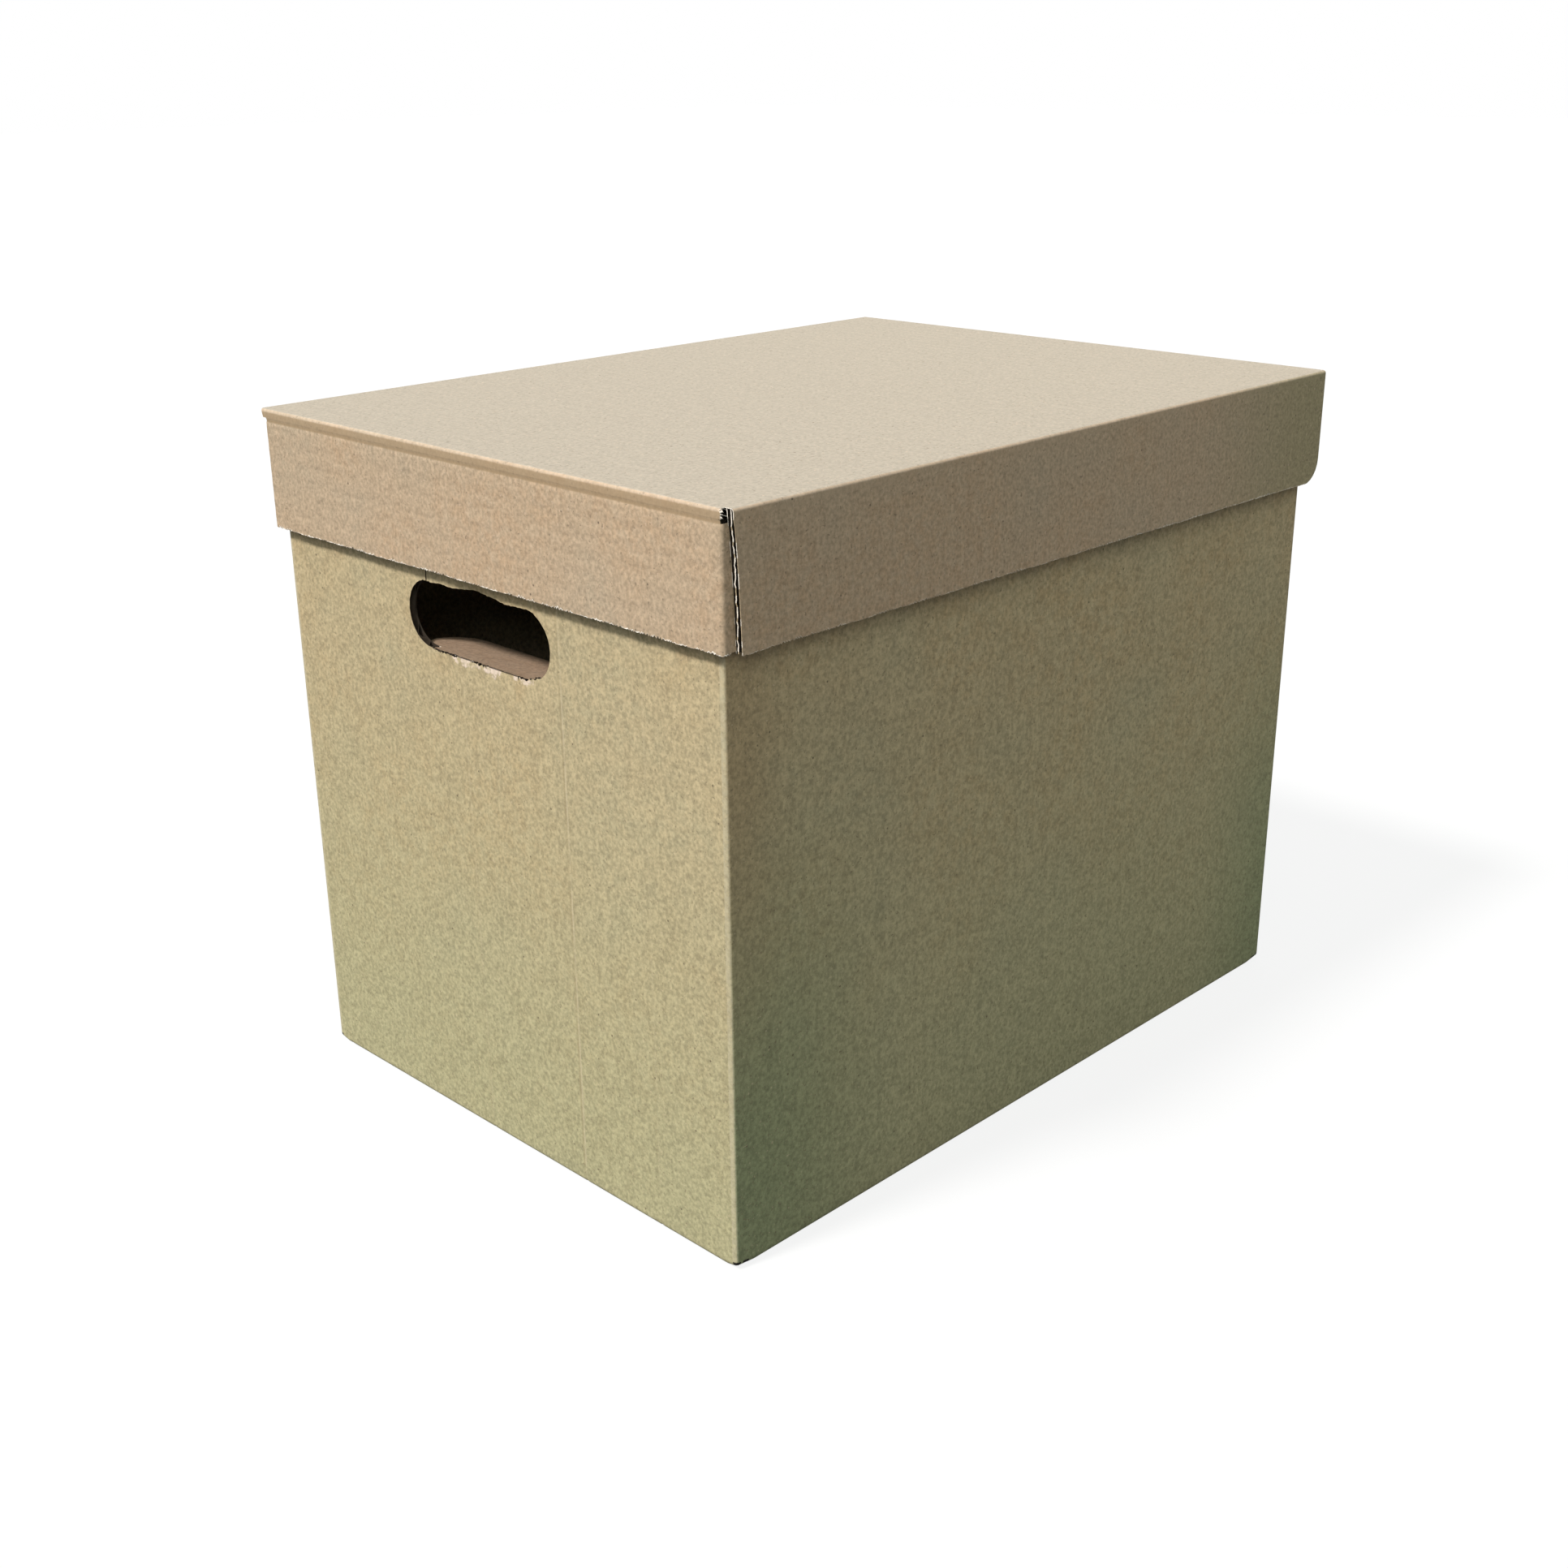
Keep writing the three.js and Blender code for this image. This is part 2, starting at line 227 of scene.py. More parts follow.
class Piece:
    """The vertices and faces of one panel, gathered from its sheets."""

    def __init__(self):
        self.points = []
        self.faces = []
        self.finishes = []

    def face(self, corners, finish):
        loop = [c for k, c in enumerate(corners) if c != corners[k - 1]]
        if len(set(loop)) >= 3:
            self.faces.append(loop)
            self.finishes.append(finish)

    def sheet(self, stations, spans, breaks, place, low, high, finish, edge):
        """A closed sheet over stations p and spans of q, between the depths low and high."""
        strips = []
        for a, b in zip(stations, stations[1:]):
            nudge = (b - a) * 0.0001
            left, right = spans(a + nudge), spans(b - nudge)
            if len(left) != len(right):
                left = right = spans((a + b) / 2)
            strips.append((left, right))
        rows, index = [], {}
        for i, p in enumerate(stations):
            before = strips[i - 1][1] if i > 0 else []
            after = strips[i][0] if i < len(strips) else []
            ends = [q for pair in before + after for q in pair]
            inner = [b for b in breaks if any(lo < b < hi for lo, hi in before + after)]
            rows.append(merged(ends + inner))
            for j, q in enumerate(rows[i]):
                for side, depth in enumerate((low, high)):
                    index[i, j, side] = len(self.points)
                    self.points.append(place(p, q, depth(p, q)))
        pairs = finish if isinstance(finish, list) else [finish]
        for i, (left, right) in enumerate(strips):
            for k, ((a0, a1), (b0, b1)) in enumerate(zip(left, right)):
                ours = [j for j, q in enumerate(rows[i]) if a0 - same <= q <= a1 + same]
                next_row = [j for j, q in enumerate(rows[i + 1]) if b0 - same <= q <= b1 + same]
                self.cells(rows, index, i, ours, next_row, pairs[min(k, len(pairs) - 1)])
                open_below = k == 0 or left[k - 1][1] < a0 - same
                open_above = k == len(left) - 1 or left[k + 1][0] > a1 + same
                for k_end, is_open in ((0, open_below), (-1, open_above)):
                    a, b = ours[k_end], next_row[k_end]
                    corners = [index[i, a, 0], index[i + 1, b, 0], index[i + 1, b, 1], index[i, a, 1]]
                    if is_open:
                        self.face(corners, edge(rows[i][a]))
        for i, row in enumerate(rows):
            before = strips[i - 1][1] if i > 0 else []
            after = strips[i][0] if i < len(strips) else []
            for j, (q0, q1) in enumerate(zip(row, row[1:])):
                middle = (q0 + q1) / 2
                covered = [any(lo < middle < hi for lo, hi in side) for side in (before, after)]
                if covered[0] != covered[1]:
                    corners = [index[i, j, 0], index[i, j + 1, 0], index[i, j + 1, 1], index[i, j, 1]]
                    self.face(corners, edge(middle))

    def plies(self, names, ends, marks, spans, rows, place, depths, edge, looks=sides):
        """Sheets for the named layers of the board, all between the same two ends."""
        for layer in names:
            stations = spread(*ends, flute_step if layer == "medium" else wall_step, *marks)
            self.sheet(stations, spans(layer), rows, place, *depths[layer], looks[layer], edge)

    def cells(self, rows, index, i, ours, next_row, finish):
        """The faces of one strip, split wherever both its sides have a row at the same q."""
        a, b = 0, 0
        while a < len(ours) - 1 or b < len(next_row) - 1:
            a2, b2 = a + 1, b + 1
            while a2 < len(ours) - 1 or b2 < len(next_row) - 1:
                if a2 >= len(ours) or (b2 < len(next_row) - 1 and a2 == len(ours) - 1):
                    b2 += 1
                elif b2 >= len(next_row) or (a2 < len(ours) - 1 and b2 == len(next_row) - 1):
                    a2 += 1
                else:
                    gap = rows[i][ours[a2]] - rows[i + 1][next_row[b2]]
                    if abs(gap) <= same:
                        break
                    if gap < 0:
                        a2 += 1
                    else:
                        b2 += 1
            a2, b2 = min(a2, len(ours) - 1), min(b2, len(next_row) - 1)
            for side in (0, 1):
                up = [index[i, j, side] for j in ours[a : a2 + 1]]
                down = [index[i + 1, j, side] for j in reversed(next_row[b : b2 + 1])]
                self.face(up + down, finish[side])
            a, b = a2, b2

    def sliver(self, root, tip, width, finish):
        """A torn fibre: a thin three-sided spike from its root to its tip."""
        along = Vector(tip) - Vector(root)
        across = along.orthogonal().normalized() * width / 2
        up = along.cross(across).normalized() * width / 2
        first = len(self.points)
        for angle in (0, 2 * math.pi / 3, 4 * math.pi / 3):
            self.points.append(tuple(Vector(root) + across * math.cos(angle) + up * math.sin(angle)))
        self.points.append(tuple(tip))
        for corners in ((0, 1, 2), (0, 1, 3), (1, 2, 3), (2, 0, 3)):
            self.face([first + c for c in corners], finish)

    def finish(self, node, materials, body, slot):
        """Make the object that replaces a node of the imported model."""
        name = node + "_board"
        mesh = bpy.data.meshes.new(name)
        mesh.from_pydata(self.points, [], self.faces)
        mesh.polygons.foreach_set("material_index", self.finishes)
        for material in materials:
            mesh.materials.append(material)
        work = bmesh.new()
        work.from_mesh(mesh)
        bmesh.ops.recalc_face_normals(work, faces=work.faces)
        for f in work.faces:
            f.smooth = True
        for e in work.edges:
            if len(e.link_faces) != 2 or e.calc_face_angle(math.pi) > sharp_angle:
                e.smooth = False
        work.to_mesh(mesh)
        work.free()
        made = bpy.data.objects.new(name, mesh)
        bpy.context.scene.collection.objects.link(made)
        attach(made, body)
        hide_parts(node)


# Depths of the three layers of the board, from the outer face inwards
def flute(p, phase):
    return math.sin(2 * math.pi * (p - phase) / flute_pitch)


def layers(phase, along_q=False, folds=()):
    """The depth functions of the outer liner, the medium and the inner liner, smooth beside the folds."""
    reach = (board - 2 * liner - medium) / 2

    def facing(depth):
        def rippled(p, q):
            ease = min([1, *[abs(q - f) / fold_ease for f in folds]])
            return depth + ease * washboard / 2 * flute(q if along_q else p, phase)

        return rippled

    def waving(offset):
        def waved(p, q):
            slope = 2 * math.pi * reach / flute_pitch * math.cos(2 * math.pi * (p - phase) / flute_pitch)
            return board / 2 + reach * flute(p, phase) + offset * math.sqrt(1 + slope**2)

        return waved

    return {
        "outer": (facing(washboard / 2), facing(liner + washboard / 2)),
        "medium": (waving(-medium / 2), waving(medium / 2)),
        "inner": (facing(board - liner - washboard / 2), facing(board - washboard / 2)),
    }


pale_edge = every(CUT)
# painted shade: cut edges that get the near-black SHADE finish throughout, used on the lid's corner tabs
painted_shade_edge = every(SHADE)


def flap_edge(q):
    """A hand hole flap's cut edge is pale, but has the painted shade finish down in its bend."""
    return SHADE if q < board else CUT


def torn_edge(q):
    """The cut medium at a raw end is pale where the knife tore it, and brown elsewhere."""
    return CUT if wander(q, 4.4, 6.1 * mm, 2.7 * mm, 15 * mm) > -0.3 else INNER


def rubbed_edge(q):
    """The cut liners at a raw end are pale only in places."""
    return CUT if wander(q, 1.3, 9.7 * mm, 4.1 * mm) > 0.1 else INNER


def hole_edge(q):
    """The cut edges round a hand hole get the painted shade finish, near black; the others are pale."""
    return SHADE if hole_bottom - 6 * mm < q < hole_bottom + hole_height + 5 * mm else CUT


# The materials' noise patterns: scale, detail, roughness, stretch along each axis, and offset
even = (1, 1, 1)
patterns = {
    "broad": (14, 3, 0.55, even, 3.1),
    "cloud": (170, 4, 0.6, even, 7.7),
    "grain": (560, 2, 0.6, even, 0.0),
    "fibre": (1000, 1, 0.5, (1, 0.6, 0.6), 1.3),
    "uneven": (45, 2, 0.5, even, 5.5),
    "dark_fleck": (700, 1, 0.5, even, 9.2),
    "pale_fleck": (750, 1, 0.5, even, 12.4),
    "patchy": (260, 4, 0.75, even, 2.2),
    "ridge": (60, 3, 0.6, even, 4.4),
    "streak": (1, 3, 0.6, (420, 38, 420), 8.3),
    "wobble": (230, 3, 0.7, even, 11.1),
    "stretch": (420, 3, 0.7, even, 6.1),
}
spot_scale = 95


class Graph:
    """The nodes of one material, built by short calls that each give an output to read on."""

    def __init__(self, material):
        material.use_nodes = True
        self.nodes, self.links = material.node_tree.nodes, material.node_tree.links
        self.shader = self.nodes["Principled BSDF"]
        self.place = self.nodes.new("ShaderNodeTexCoord").outputs["Object"]
        separate = self.nodes.new("ShaderNodeSeparateXYZ")
        self.links.new(self.place, separate.inputs[0])
        self.x, self.y, self.z = separate.outputs

    def feed(self, sockets, values):
        for socket, value in zip(sockets, values):
            if isinstance(value, (int, float, tuple)):
                socket.default_value = value
            else:
                self.links.new(value, socket)

    def maths(self, kind, *values):
        node = self.nodes.new("ShaderNodeMath")
        node.operation = kind
        self.feed(node.inputs, values)
        return node.outputs[0]

    add = functools.partialmethod(maths, "ADD")
    less = functools.partialmethod(maths, "SUBTRACT")
    times = functools.partialmethod(maths, "MULTIPLY")
    over = functools.partialmethod(maths, "DIVIDE")
    larger = functools.partialmethod(maths, "MAXIMUM")
    size = functools.partialmethod(maths, "ABSOLUTE")
    line = functools.partialmethod(maths, "MULTIPLY_ADD")

    def distance(self, a, b):
        return self.size(self.less(a, b))

    def along(self, axis):
        return getattr(self, axis.lower())

    def node(self, kind, **values):
        """A node with its inputs set or linked by their names."""
        made = self.nodes.new("ShaderNode" + kind)
        self.feed([made.inputs[name] for name in values], values.values())
        return made

    def noise(self, pattern):
        scale, detail, roughness, stretch, offset = patterns[pattern]
        shifted = self.node("Mapping", Scale=stretch, Location=(offset, offset, offset), Vector=self.place)
        placed = shifted.outputs["Vector"]
        made = self.node("TexNoise", Scale=scale, Detail=detail, Roughness=roughness, Vector=placed)
        return made.outputs["Fac"]

    def ramp(self, value, low, high, at_low, at_high):
        """A smooth change from at_low to at_high while the value goes from low to high."""
        node = self.nodes.new("ShaderNodeMapRange")
        node.interpolation_type = "SMOOTHSTEP"
        self.feed(list(node.inputs)[:5], (value, low, high, at_low, at_high))
        return node.outputs["Result"]

    def mix(self, share, a, b):
        node = self.nodes.new("ShaderNodeMix")
        node.data_type = "RGBA"
        self.feed((node.inputs[0], node.inputs[6], node.inputs[7]), (share, a, b))
        return node.outputs[2]


def scaled(colour, *factors):
    """A colour times one factor, or times a factor for each channel, kept within white."""
    factors = factors * 3 if len(factors) == 1 else factors
    return (*[min(1, c * f) for c, f in zip(colour, factors)], 1)


def kraft(name, colour, banded, freckle, tints=(), marks=(), rough=0.78, strength=1.0):
    """Kraft liner: mottled fibres, dark and pale flecks, faint bands over the flutes, and marks."""
    material = bpy.data.materials.new(name)
    g = Graph(material)
    g.shader.inputs["Roughness"].default_value = rough
    g.shader.inputs["Specular IOR Level"].default_value = 0.35
    broad = g.noise("broad")
    cloud = g.noise("cloud")
    grain = g.noise("grain")
    fibre = g.noise("fibre")
    warm, cool = scaled(colour, 1.05, 0.985, 0.93), scaled(colour, 0.965, 1.005, 1.03)
    tint = g.mix(g.ramp(broad, 0.35, 0.65, 0, 1), warm, cool)
    tint = g.mix(g.ramp(cloud, 0.3, 0.7, 0, 1), tint, scaled(colour, 1))
    for mark, mark_colour in tints:
        tint = g.mix(mark(g), tint, (*mark_colour, 1))
    tone = g.add(g.ramp(cloud, 0.3, 0.7, -0.05, 0.05), g.ramp(grain, 0.3, 0.7, -0.17, 0.17))
    tone = g.times(g.add(tone, g.ramp(fibre, 0.3, 0.7, -0.07, 0.07)), strength)
    axis, phase = banded
    per_length = 2 * math.pi / flute_pitch
    ripple = g.maths("SINE", g.line(g.along(axis), per_length, -phase * per_length))
    bands = g.times(ripple, g.ramp(g.noise("uneven"), 0.35, 0.7, 0.2, 1))
    tone = g.add(g.add(tone, g.times(bands, -0.02)), 1.0)
    toned = g.nodes.new("ShaderNodeVectorMath")
    toned.operation = "SCALE"
    g.feed((toned.inputs[0], toned.inputs[3]), (tint, tone))
    dark = g.ramp(g.noise("dark_fleck"), 0.69, 0.74, 0, 0.7 * freckle)
    surface = g.mix(dark, toned.outputs[0], scaled(colour, 0.42))
    light = g.ramp(g.noise("pale_fleck"), 0.68, 0.75, 0, 0.55 * freckle)
    surface = g.mix(light, surface, scaled(colour, 1.35, 1.38, 1.5))
    spots = g.node("TexVoronoi", Scale=spot_scale, Vector=g.place)
    spot = g.ramp(spots.outputs["Distance"], 0.03, 0.065, freckle, 0)
    surface = g.mix(spot, surface, scaled(colour, 0.3))
    for mark, mark_colour in marks:
        surface = g.mix(mark(g), surface, (*mark_colour, 1))
    g.links.new(surface, g.shader.inputs["Base Color"])
    height = g.line(fibre, grain_height / 2, g.line(grain, grain_height, g.times(bands, -grain_height)))
    bump = g.node("Bump", Strength=1.0, Distance=1.0, Height=height)
    g.links.new(bump.outputs["Normal"], g.shader.inputs["Normal"])
    return material


# Marks: each gives, for a material's graph, where and how strongly another colour shows
def change_along(axis, low, high, at_low, at_high):
    """A change along one axis of the box between two places."""
    return lambda g: g.ramp(g.along(axis), low, high, at_low, at_high)


def fold_wear(half_x, half_y, low_z, high_z, amount):
    """Where the folds are worn pale: the upright corners, below low_z, and the rim above high_z."""
    soft = 0.4 * mm

    def worn(g):
        x = g.less(g.size(g.x), half_x)
        y = g.less(g.size(g.y), half_y)
        corner = g.ramp(g.maths("MINIMUM", x, y), -0.3 * mm, 0.3 * mm, 0, 1)
        low = g.ramp(g.z, low_z - 3 * soft, low_z + soft, 1, 0)
        rim = g.ramp(g.larger(x, y), -soft, soft, 0, 1)
        high = g.times(rim, g.ramp(g.z, high_z - soft, high_z + soft, 0, 1))
        fold = g.larger(g.larger(low, high), corner)
        patchy = g.ramp(g.noise("patchy"), 0.38, 0.60, 0.45, 1)
        return g.times(g.times(fold, patchy), amount)

    return worn


def painted_slot_shadows(half_x, half_y):
    """Painted shadow in the mouths of the slots between the bottom flaps, seen edge on at the foot of the
    corners.
    """

    def mouths(g):
        x = g.less(half_x, g.size(g.x))
        y = g.less(half_y, g.size(g.y))
        away = g.larger(x, y)
        beside = g.ramp(away, 2.3 * mm, 2.7 * mm, 1, 0)
        further = g.ramp(g.distance(x, 5.5 * mm), 1.5 * mm, 2.1 * mm, 1, 0)
        along = g.larger(beside, g.times(further, g.ramp(y, 2.7 * mm, 3 * mm, 1, 0)))
        share = g.larger(g.line(away, -1 / side_lift_run, 1.0), 0.0)
        foot = g.line(share, -corner_lift, g.z)
        return g.times(along, g.ramp(foot, slot_mouth, slot_mouth + 0.4 * mm, 1, 0))

    return mouths


def painted_corner_shade(near_x, low_z, high_z, at_low, at_high, amount):
    """Painted shade on a side wall that grows from near_x towards its ends, and changes with the height."""

    def cast(g):
        along = g.ramp(g.distance(g.x, cast_middle), near_x, cast_far, 0, amount)
        return g.times(along, g.ramp(g.z, low_z, high_z, at_low, at_high))

    return cast


def ridge_lines(shift):
    """Faint upright lines on the end walls over pressed flutes: a painted highlight on the crests, and
    painted shade in dark lines beside them.
    """

    def lines(g):
        found = []
        for place, ridge_strength in zip(ridge_places, ridge_strengths):
            away = g.distance(g.y, place + shift)
            found.append(g.ramp(away, 0.2 * mm, 0.9 * mm, ridge_strength, 0))
        total = functools.reduce(g.larger, found)
        return g.times(total, g.ramp(g.noise("ridge"), 0.4, 0.6, 0.3, 1))

    return lines


def streaks(g):
    """Fine dark streaks along a hand hole flap, beside its bend."""
    return g.ramp(g.noise("streak"), 0.47, 0.66, 0, 0.5)


def score_strip(low_z, high_z, beyond_x):
    """The strip between the lid's fold and its second score, darker, with painted shade along the score's
    groove.
    """

    def pressed(g):
        at_end = g.ramp(g.size(g.x), beyond_x - 0.2 * mm, beyond_x + 0.2 * mm, 0, 1)
        above = g.ramp(g.z, low_z - 0.3 * mm, low_z + 0.3 * mm, 0, 1)
        below = g.ramp(g.z, high_z - 0.6 * mm, high_z, 1, 0)
        # painted shade along the score's groove
        groove = g.ramp(g.distance(g.z, low_z), 0.3 * mm, 1 * mm, 0.75, 0)
        strip = g.times(g.times(above, below), 0.6)
        return g.times(g.larger(strip, groove), at_end)

    return pressed


def crease_stretch(g):
    """Pale patches under the hand hole's crease, where the outer liner was stretched between its cuts."""
    along = g.times(g.y, g.times(g.maths("SIGN", g.x), -1.0))
    fall = g.less(hole_bottom - 0.6 * mm, g.z)
    wobble = g.ramp(g.noise("wobble"), 0.3, 0.7, -0.9, 0.9)
    found = []
    for place, size in stretched:
        u = g.over(g.less(along, place), size)
        v = g.over(fall, 0.42 * size)
        span = g.add(g.times(u, u), g.times(v, v))
        found.append(g.ramp(g.add(span, wobble), 0.1, 1.1, 1, 0))
    total = functools.reduce(g.larger, found)
    return g.times(total, g.ramp(g.noise("stretch"), 0.35, 0.6, 0.5, 1))


body_colour = (0.505, 0.402, 0.242)
ground_bounce_colour = (0.425, 0.405, 0.235)
lid_colour = (0.515, 0.383, 0.262)
far_shade_colour = (0.39, 0.325, 0.195)
top_sheen_colour = (0.45, 0.386, 0.31)
# painted shade: the hand hole flap darker than the wall's board it is cut from, for the shade inside the
# hole
shaded_flap_colour = (0.29, 0.2, 0.135)
inner_colour = (0.46, 0.36, 0.235)
cut_colour = (0.93, 0.84, 0.74)
# painted shade: the near-black colour of the SHADE finish, darker than real kraft
shade_colour = (0.035, 0.024, 0.015)
foot_shade_colour = (0.286, 0.308, 0.17)
head_shade_colour = (0.42, 0.30, 0.165)
slot_shadow_colour = (0.01, 0.008, 0.006)
score_colour = (0.37, 0.255, 0.145)
worn_colour = (0.80, 0.66, 0.55)
worn_body_colour = (0.60, 0.53, 0.37)
stretched_colour = (0.88, 0.71, 0.59)
streak_colour = (0.26, 0.165, 0.10)
crest_highlight_colour = (0.66, 0.55, 0.37)
groove_shade_colour = (0.36, 0.28, 0.16)

body_wear = fold_wear(body_length / 2 - 0.9 * mm, body_width / 2 - 2.7 * mm, 1.2 * mm, nowhere, 0.55)
worn_top = overall_height - 1.3 * mm
lid_wear = fold_wear(lid_length / 2 - 1.1 * mm, lid_width / 2 - 1.1 * mm, -nowhere, worn_top, 0.22)
lid_score = score_strip(overall_height - score_drop, overall_height - 1.2 * mm, lid_length / 2 - 1.4 * mm)
# painted bounce light: the body walls turn greener towards their feet, as though lit by a green ground
painted_bounce_tint = (change_along("Z", 0, 270 * mm, 0.75, 0), ground_bounce_colour)
# painted shade: the lid's side walls and top darker towards the far end
painted_far_shade = (change_along("X", 80 * mm, 215 * mm, 0, 1), far_shade_colour)
# painted sheen: the lid's flat top paler and bluer, standing in for the sky's glancing reflection on it
painted_top_sheen = change_along("Z", overall_height - 0.4 * mm, overall_height - 0.1 * mm, 0, 1)
# painted shade: the body's side walls darker and greener towards their feet near the ends
painted_foot_shade = painted_corner_shade(105 * mm, 20 * mm, 260 * mm, 1, 0, 1)
# painted shade: the body's side walls browner and darker high up near their ends, below the lid
painted_head_shade = painted_corner_shade(180 * mm, 60 * mm, 255 * mm, 0, 1, 0.7)
body_marks = [(body_wear, worn_body_colour), (painted_slot_shadows(body_length / 2, body_width / 2), slot_shadow_colour)]
ridge_marks = [(ridge_lines(0), crest_highlight_colour), (ridge_lines(ridge_width), groove_shade_colour)]
tints_of = {
    ("body", "X"): [painted_bounce_tint, (painted_foot_shade, foot_shade_colour), (painted_head_shade, head_shade_colour)],
    ("body", "Y"): [painted_bounce_tint],
    ("top", "X"): [painted_far_shade, (painted_top_sheen, top_sheen_colour)],
    ("lid", "X"): [painted_far_shade],
}
marks_of = {
    ("body", "X"): body_marks,
    ("body", "Y"): ridge_marks + body_marks + [(crease_stretch, stretched_colour)],
    ("top", "X"): [(lid_score, score_colour), (lid_wear, worn_colour)],
    ("lid", "X"): [(lid_wear, worn_colour)],
    ("lid", "Z"): [(lid_score, score_colour), (lid_wear, worn_colour)],
    ("flap", "Y"): [(streaks, streak_colour)],
}
outer_colours = {"body": body_colour, "lid": lid_colour, "top": lid_colour, "flap": shaded_flap_colour}
grain_strengths = {"body": 1.05, "lid": 0.95, "top": 0.6, "flap": 1}
finishes = {}


def liners(tone, axis, phase=0.0):
    """The materials of a panel whose flutes repeat along an axis, in the order of its looks."""
    key = (tone, axis, round(phase / mm, 3))
    if key not in finishes:
        label = f"{tone}_{axis.lower()}_{len(finishes)}"
        band = (axis, phase)
        looks = tints_of.get((tone, axis), ()), marks_of[tone, axis]
        strength = grain_strengths[tone]
        finishes[key] = [
            kraft("kraft_outer_" + label, outer_colours[tone], band, 0.9, *looks, strength=strength),
            kraft("kraft_inner_" + label, inner_colour, band, 0.8),
            kraft("kraft_cut_" + label, cut_colour, band, 0.4, rough=0.9),
            # painted shade: a near-black finish standing in for the shade in flutes, gaps and shaded cut
            # edges
            kraft("kraft_painted_shade_" + label, shade_colour, band, 0.2, rough=0.9),
        ]
    return finishes[key]


# The walls of the body
def round_fold(q, depth):
    """Depth and height of a point on a wall folded in at its foot; q is measured along the outer face."""
    if q >= foot_radius or depth > foot_radius:
        return depth, q
    angle = (foot_radius - q) / foot_radius
    ring = foot_radius - depth
    if angle <= math.pi / 2:
        return foot_radius - ring * math.cos(angle), foot_radius - ring * math.sin(angle)
    return foot_radius + (angle - math.pi / 2) * foot_radius, depth


def foot_height(depth):
    """How high the medium ends at a depth, just inside the fold of the outer liner."""
    inside = max(foot_radius - depth, 0)
    return foot_radius + liner - math.sqrt(foot_radius**2 - inside**2)


def lifted(half, run, s, z):
    """A wall's foot rises a little beside its corners, where the bottom flaps are slotted apart."""
    share = max(0, (abs(s) - half + run) / run)
    return z + corner_lift * share * max(0, 1 - z / lift_height)


def round_corner(half, s, depth, fold_radius=fold_radius):
    """Place along and into a wall with a folded end; s is measured along the outer face from its middle."""
    arm = half - fold_radius
    over = abs(s) - arm
    sign = 1 if s > 0 else -1
    if over <= 0:
        return sign * min(abs(s), half - depth), depth
    ring = max(fold_radius - depth, 0)
    angle = over / fold_radius
    if angle <= math.pi / 2:
        along = arm + ring * math.sin(angle)
        inward = max(depth, fold_radius) if ring == 0 else fold_radius - ring * math.cos(angle)
        return sign * (min(along, half - depth) if ring == 0 else along), inward
    return sign * (arm + ring), fold_radius + (angle - math.pi / 2) * fold_radius


ease_steps = [fold_ease * k / 3 for k in range(4)]
fold_breaks = [foot_radius * (1 - math.pi / 2 * k / arc_steps) for k in range(arc_steps + 1)]
fold_breaks += ease_steps[1:] + [lift_height]
fold_end = foot_radius - foot_radius * math.pi / 2 - (board - foot_radius)
slot_end = foot_radius * (1 - math.pi / 2 * 0.45)
mitre_reach = fold_radius * math.pi / 4
tab_reach = fold_radius * math.pi / 2 + flap_start - fold_radius
lid_tab_reach = corner_radius * math.pi / 2 + flap_start - corner_radius


def corner_marks(half, radius):
    reach = radius * math.pi / 2
    arm = half - radius
    return [sign * (arm + reach * k / arc_steps) for k in range(arc_steps + 1) for sign in (1, -1)]


# The hand holes. Places along the crease are measured from its middle, towards the wall's own +x.
cut_stretches = [(-36.7 * mm, -15.7 * mm), (-6.2 * mm, 6.4 * mm), (28 * mm, 34.5 * mm)]
slit_place = -35.4 * mm
slit_half = 0.35 * mm
slit_length = 5 * mm
cracks = [(4.6 * mm, 1.9 * mm), (27.3 * mm, 2.4 * mm)]
crack_half = 0.5 * mm
fibre_pitch = 2.6 * mm
torn_fibres = 9


def crease_gap(x, seed):
    """How far the liner is torn back from the crease; it is whole between the cut stretches."""
    inside = max(min(x - a, b - x) for a, b in cut_stretches)
    crack = max(size * (1 - abs(x - place) / crack_half) for place, size in cracks)
    if inside <= 0 or crack > 0:
        return max(0, crack)
    jagged = abs((x / (2.7 * mm) + 0.3 * wander(x, seed, 5 * mm, 3.3 * mm)) % 1 - 0.5) * 2
    return min(inside, 0.45 * mm + 1.1 * mm * jagged * (1.2 + wander(x, seed, 9 * mm, 4.1 * mm)) / 2)


def hole_spans(u, bottom, top, depth, with_groove):
    """The spans of a wall's height beside, under and over its hand hole."""
    x = u + hole_offset
    if abs(x) >= hole_half + hole_radius:
        return [(bottom, top)]
    centre = hole_bottom + hole_radius
    past = max(abs(x) - hole_half, 0)
    rise = math.sqrt(max(hole_radius**2 - past**2, 0))
    ragged = 0.5 * mm * wander(x, 2, 20 * mm, 27 * mm, 13 * mm)
    ragged += 0.2 * mm * wander(x, 2, 4.1 * mm, 2.3 * mm)
    ragged += hole_bump * (1 + math.cos(math.pi * min(1, abs(x - hole_bump_place) / hole_bump_half))) / 2
    upper = centre + rise + (ragged if past == 0 else ragged * rise / hole_radius)
    if abs(x - slit_place) < slit_half:
        upper += slit_length
    lower = centre - rise
    if past == 0:
        lower = hole_bottom - (depth * math.tan(groove_angle) if with_groove else crease_gap(x, 1))
    if 0 < x - hole_half < 8 * mm and rise > 0:
        lower += 1.6 * mm * abs((x / (3.1 * mm)) % 1 - 0.5)
    return [(bottom, lower), (upper, top)]


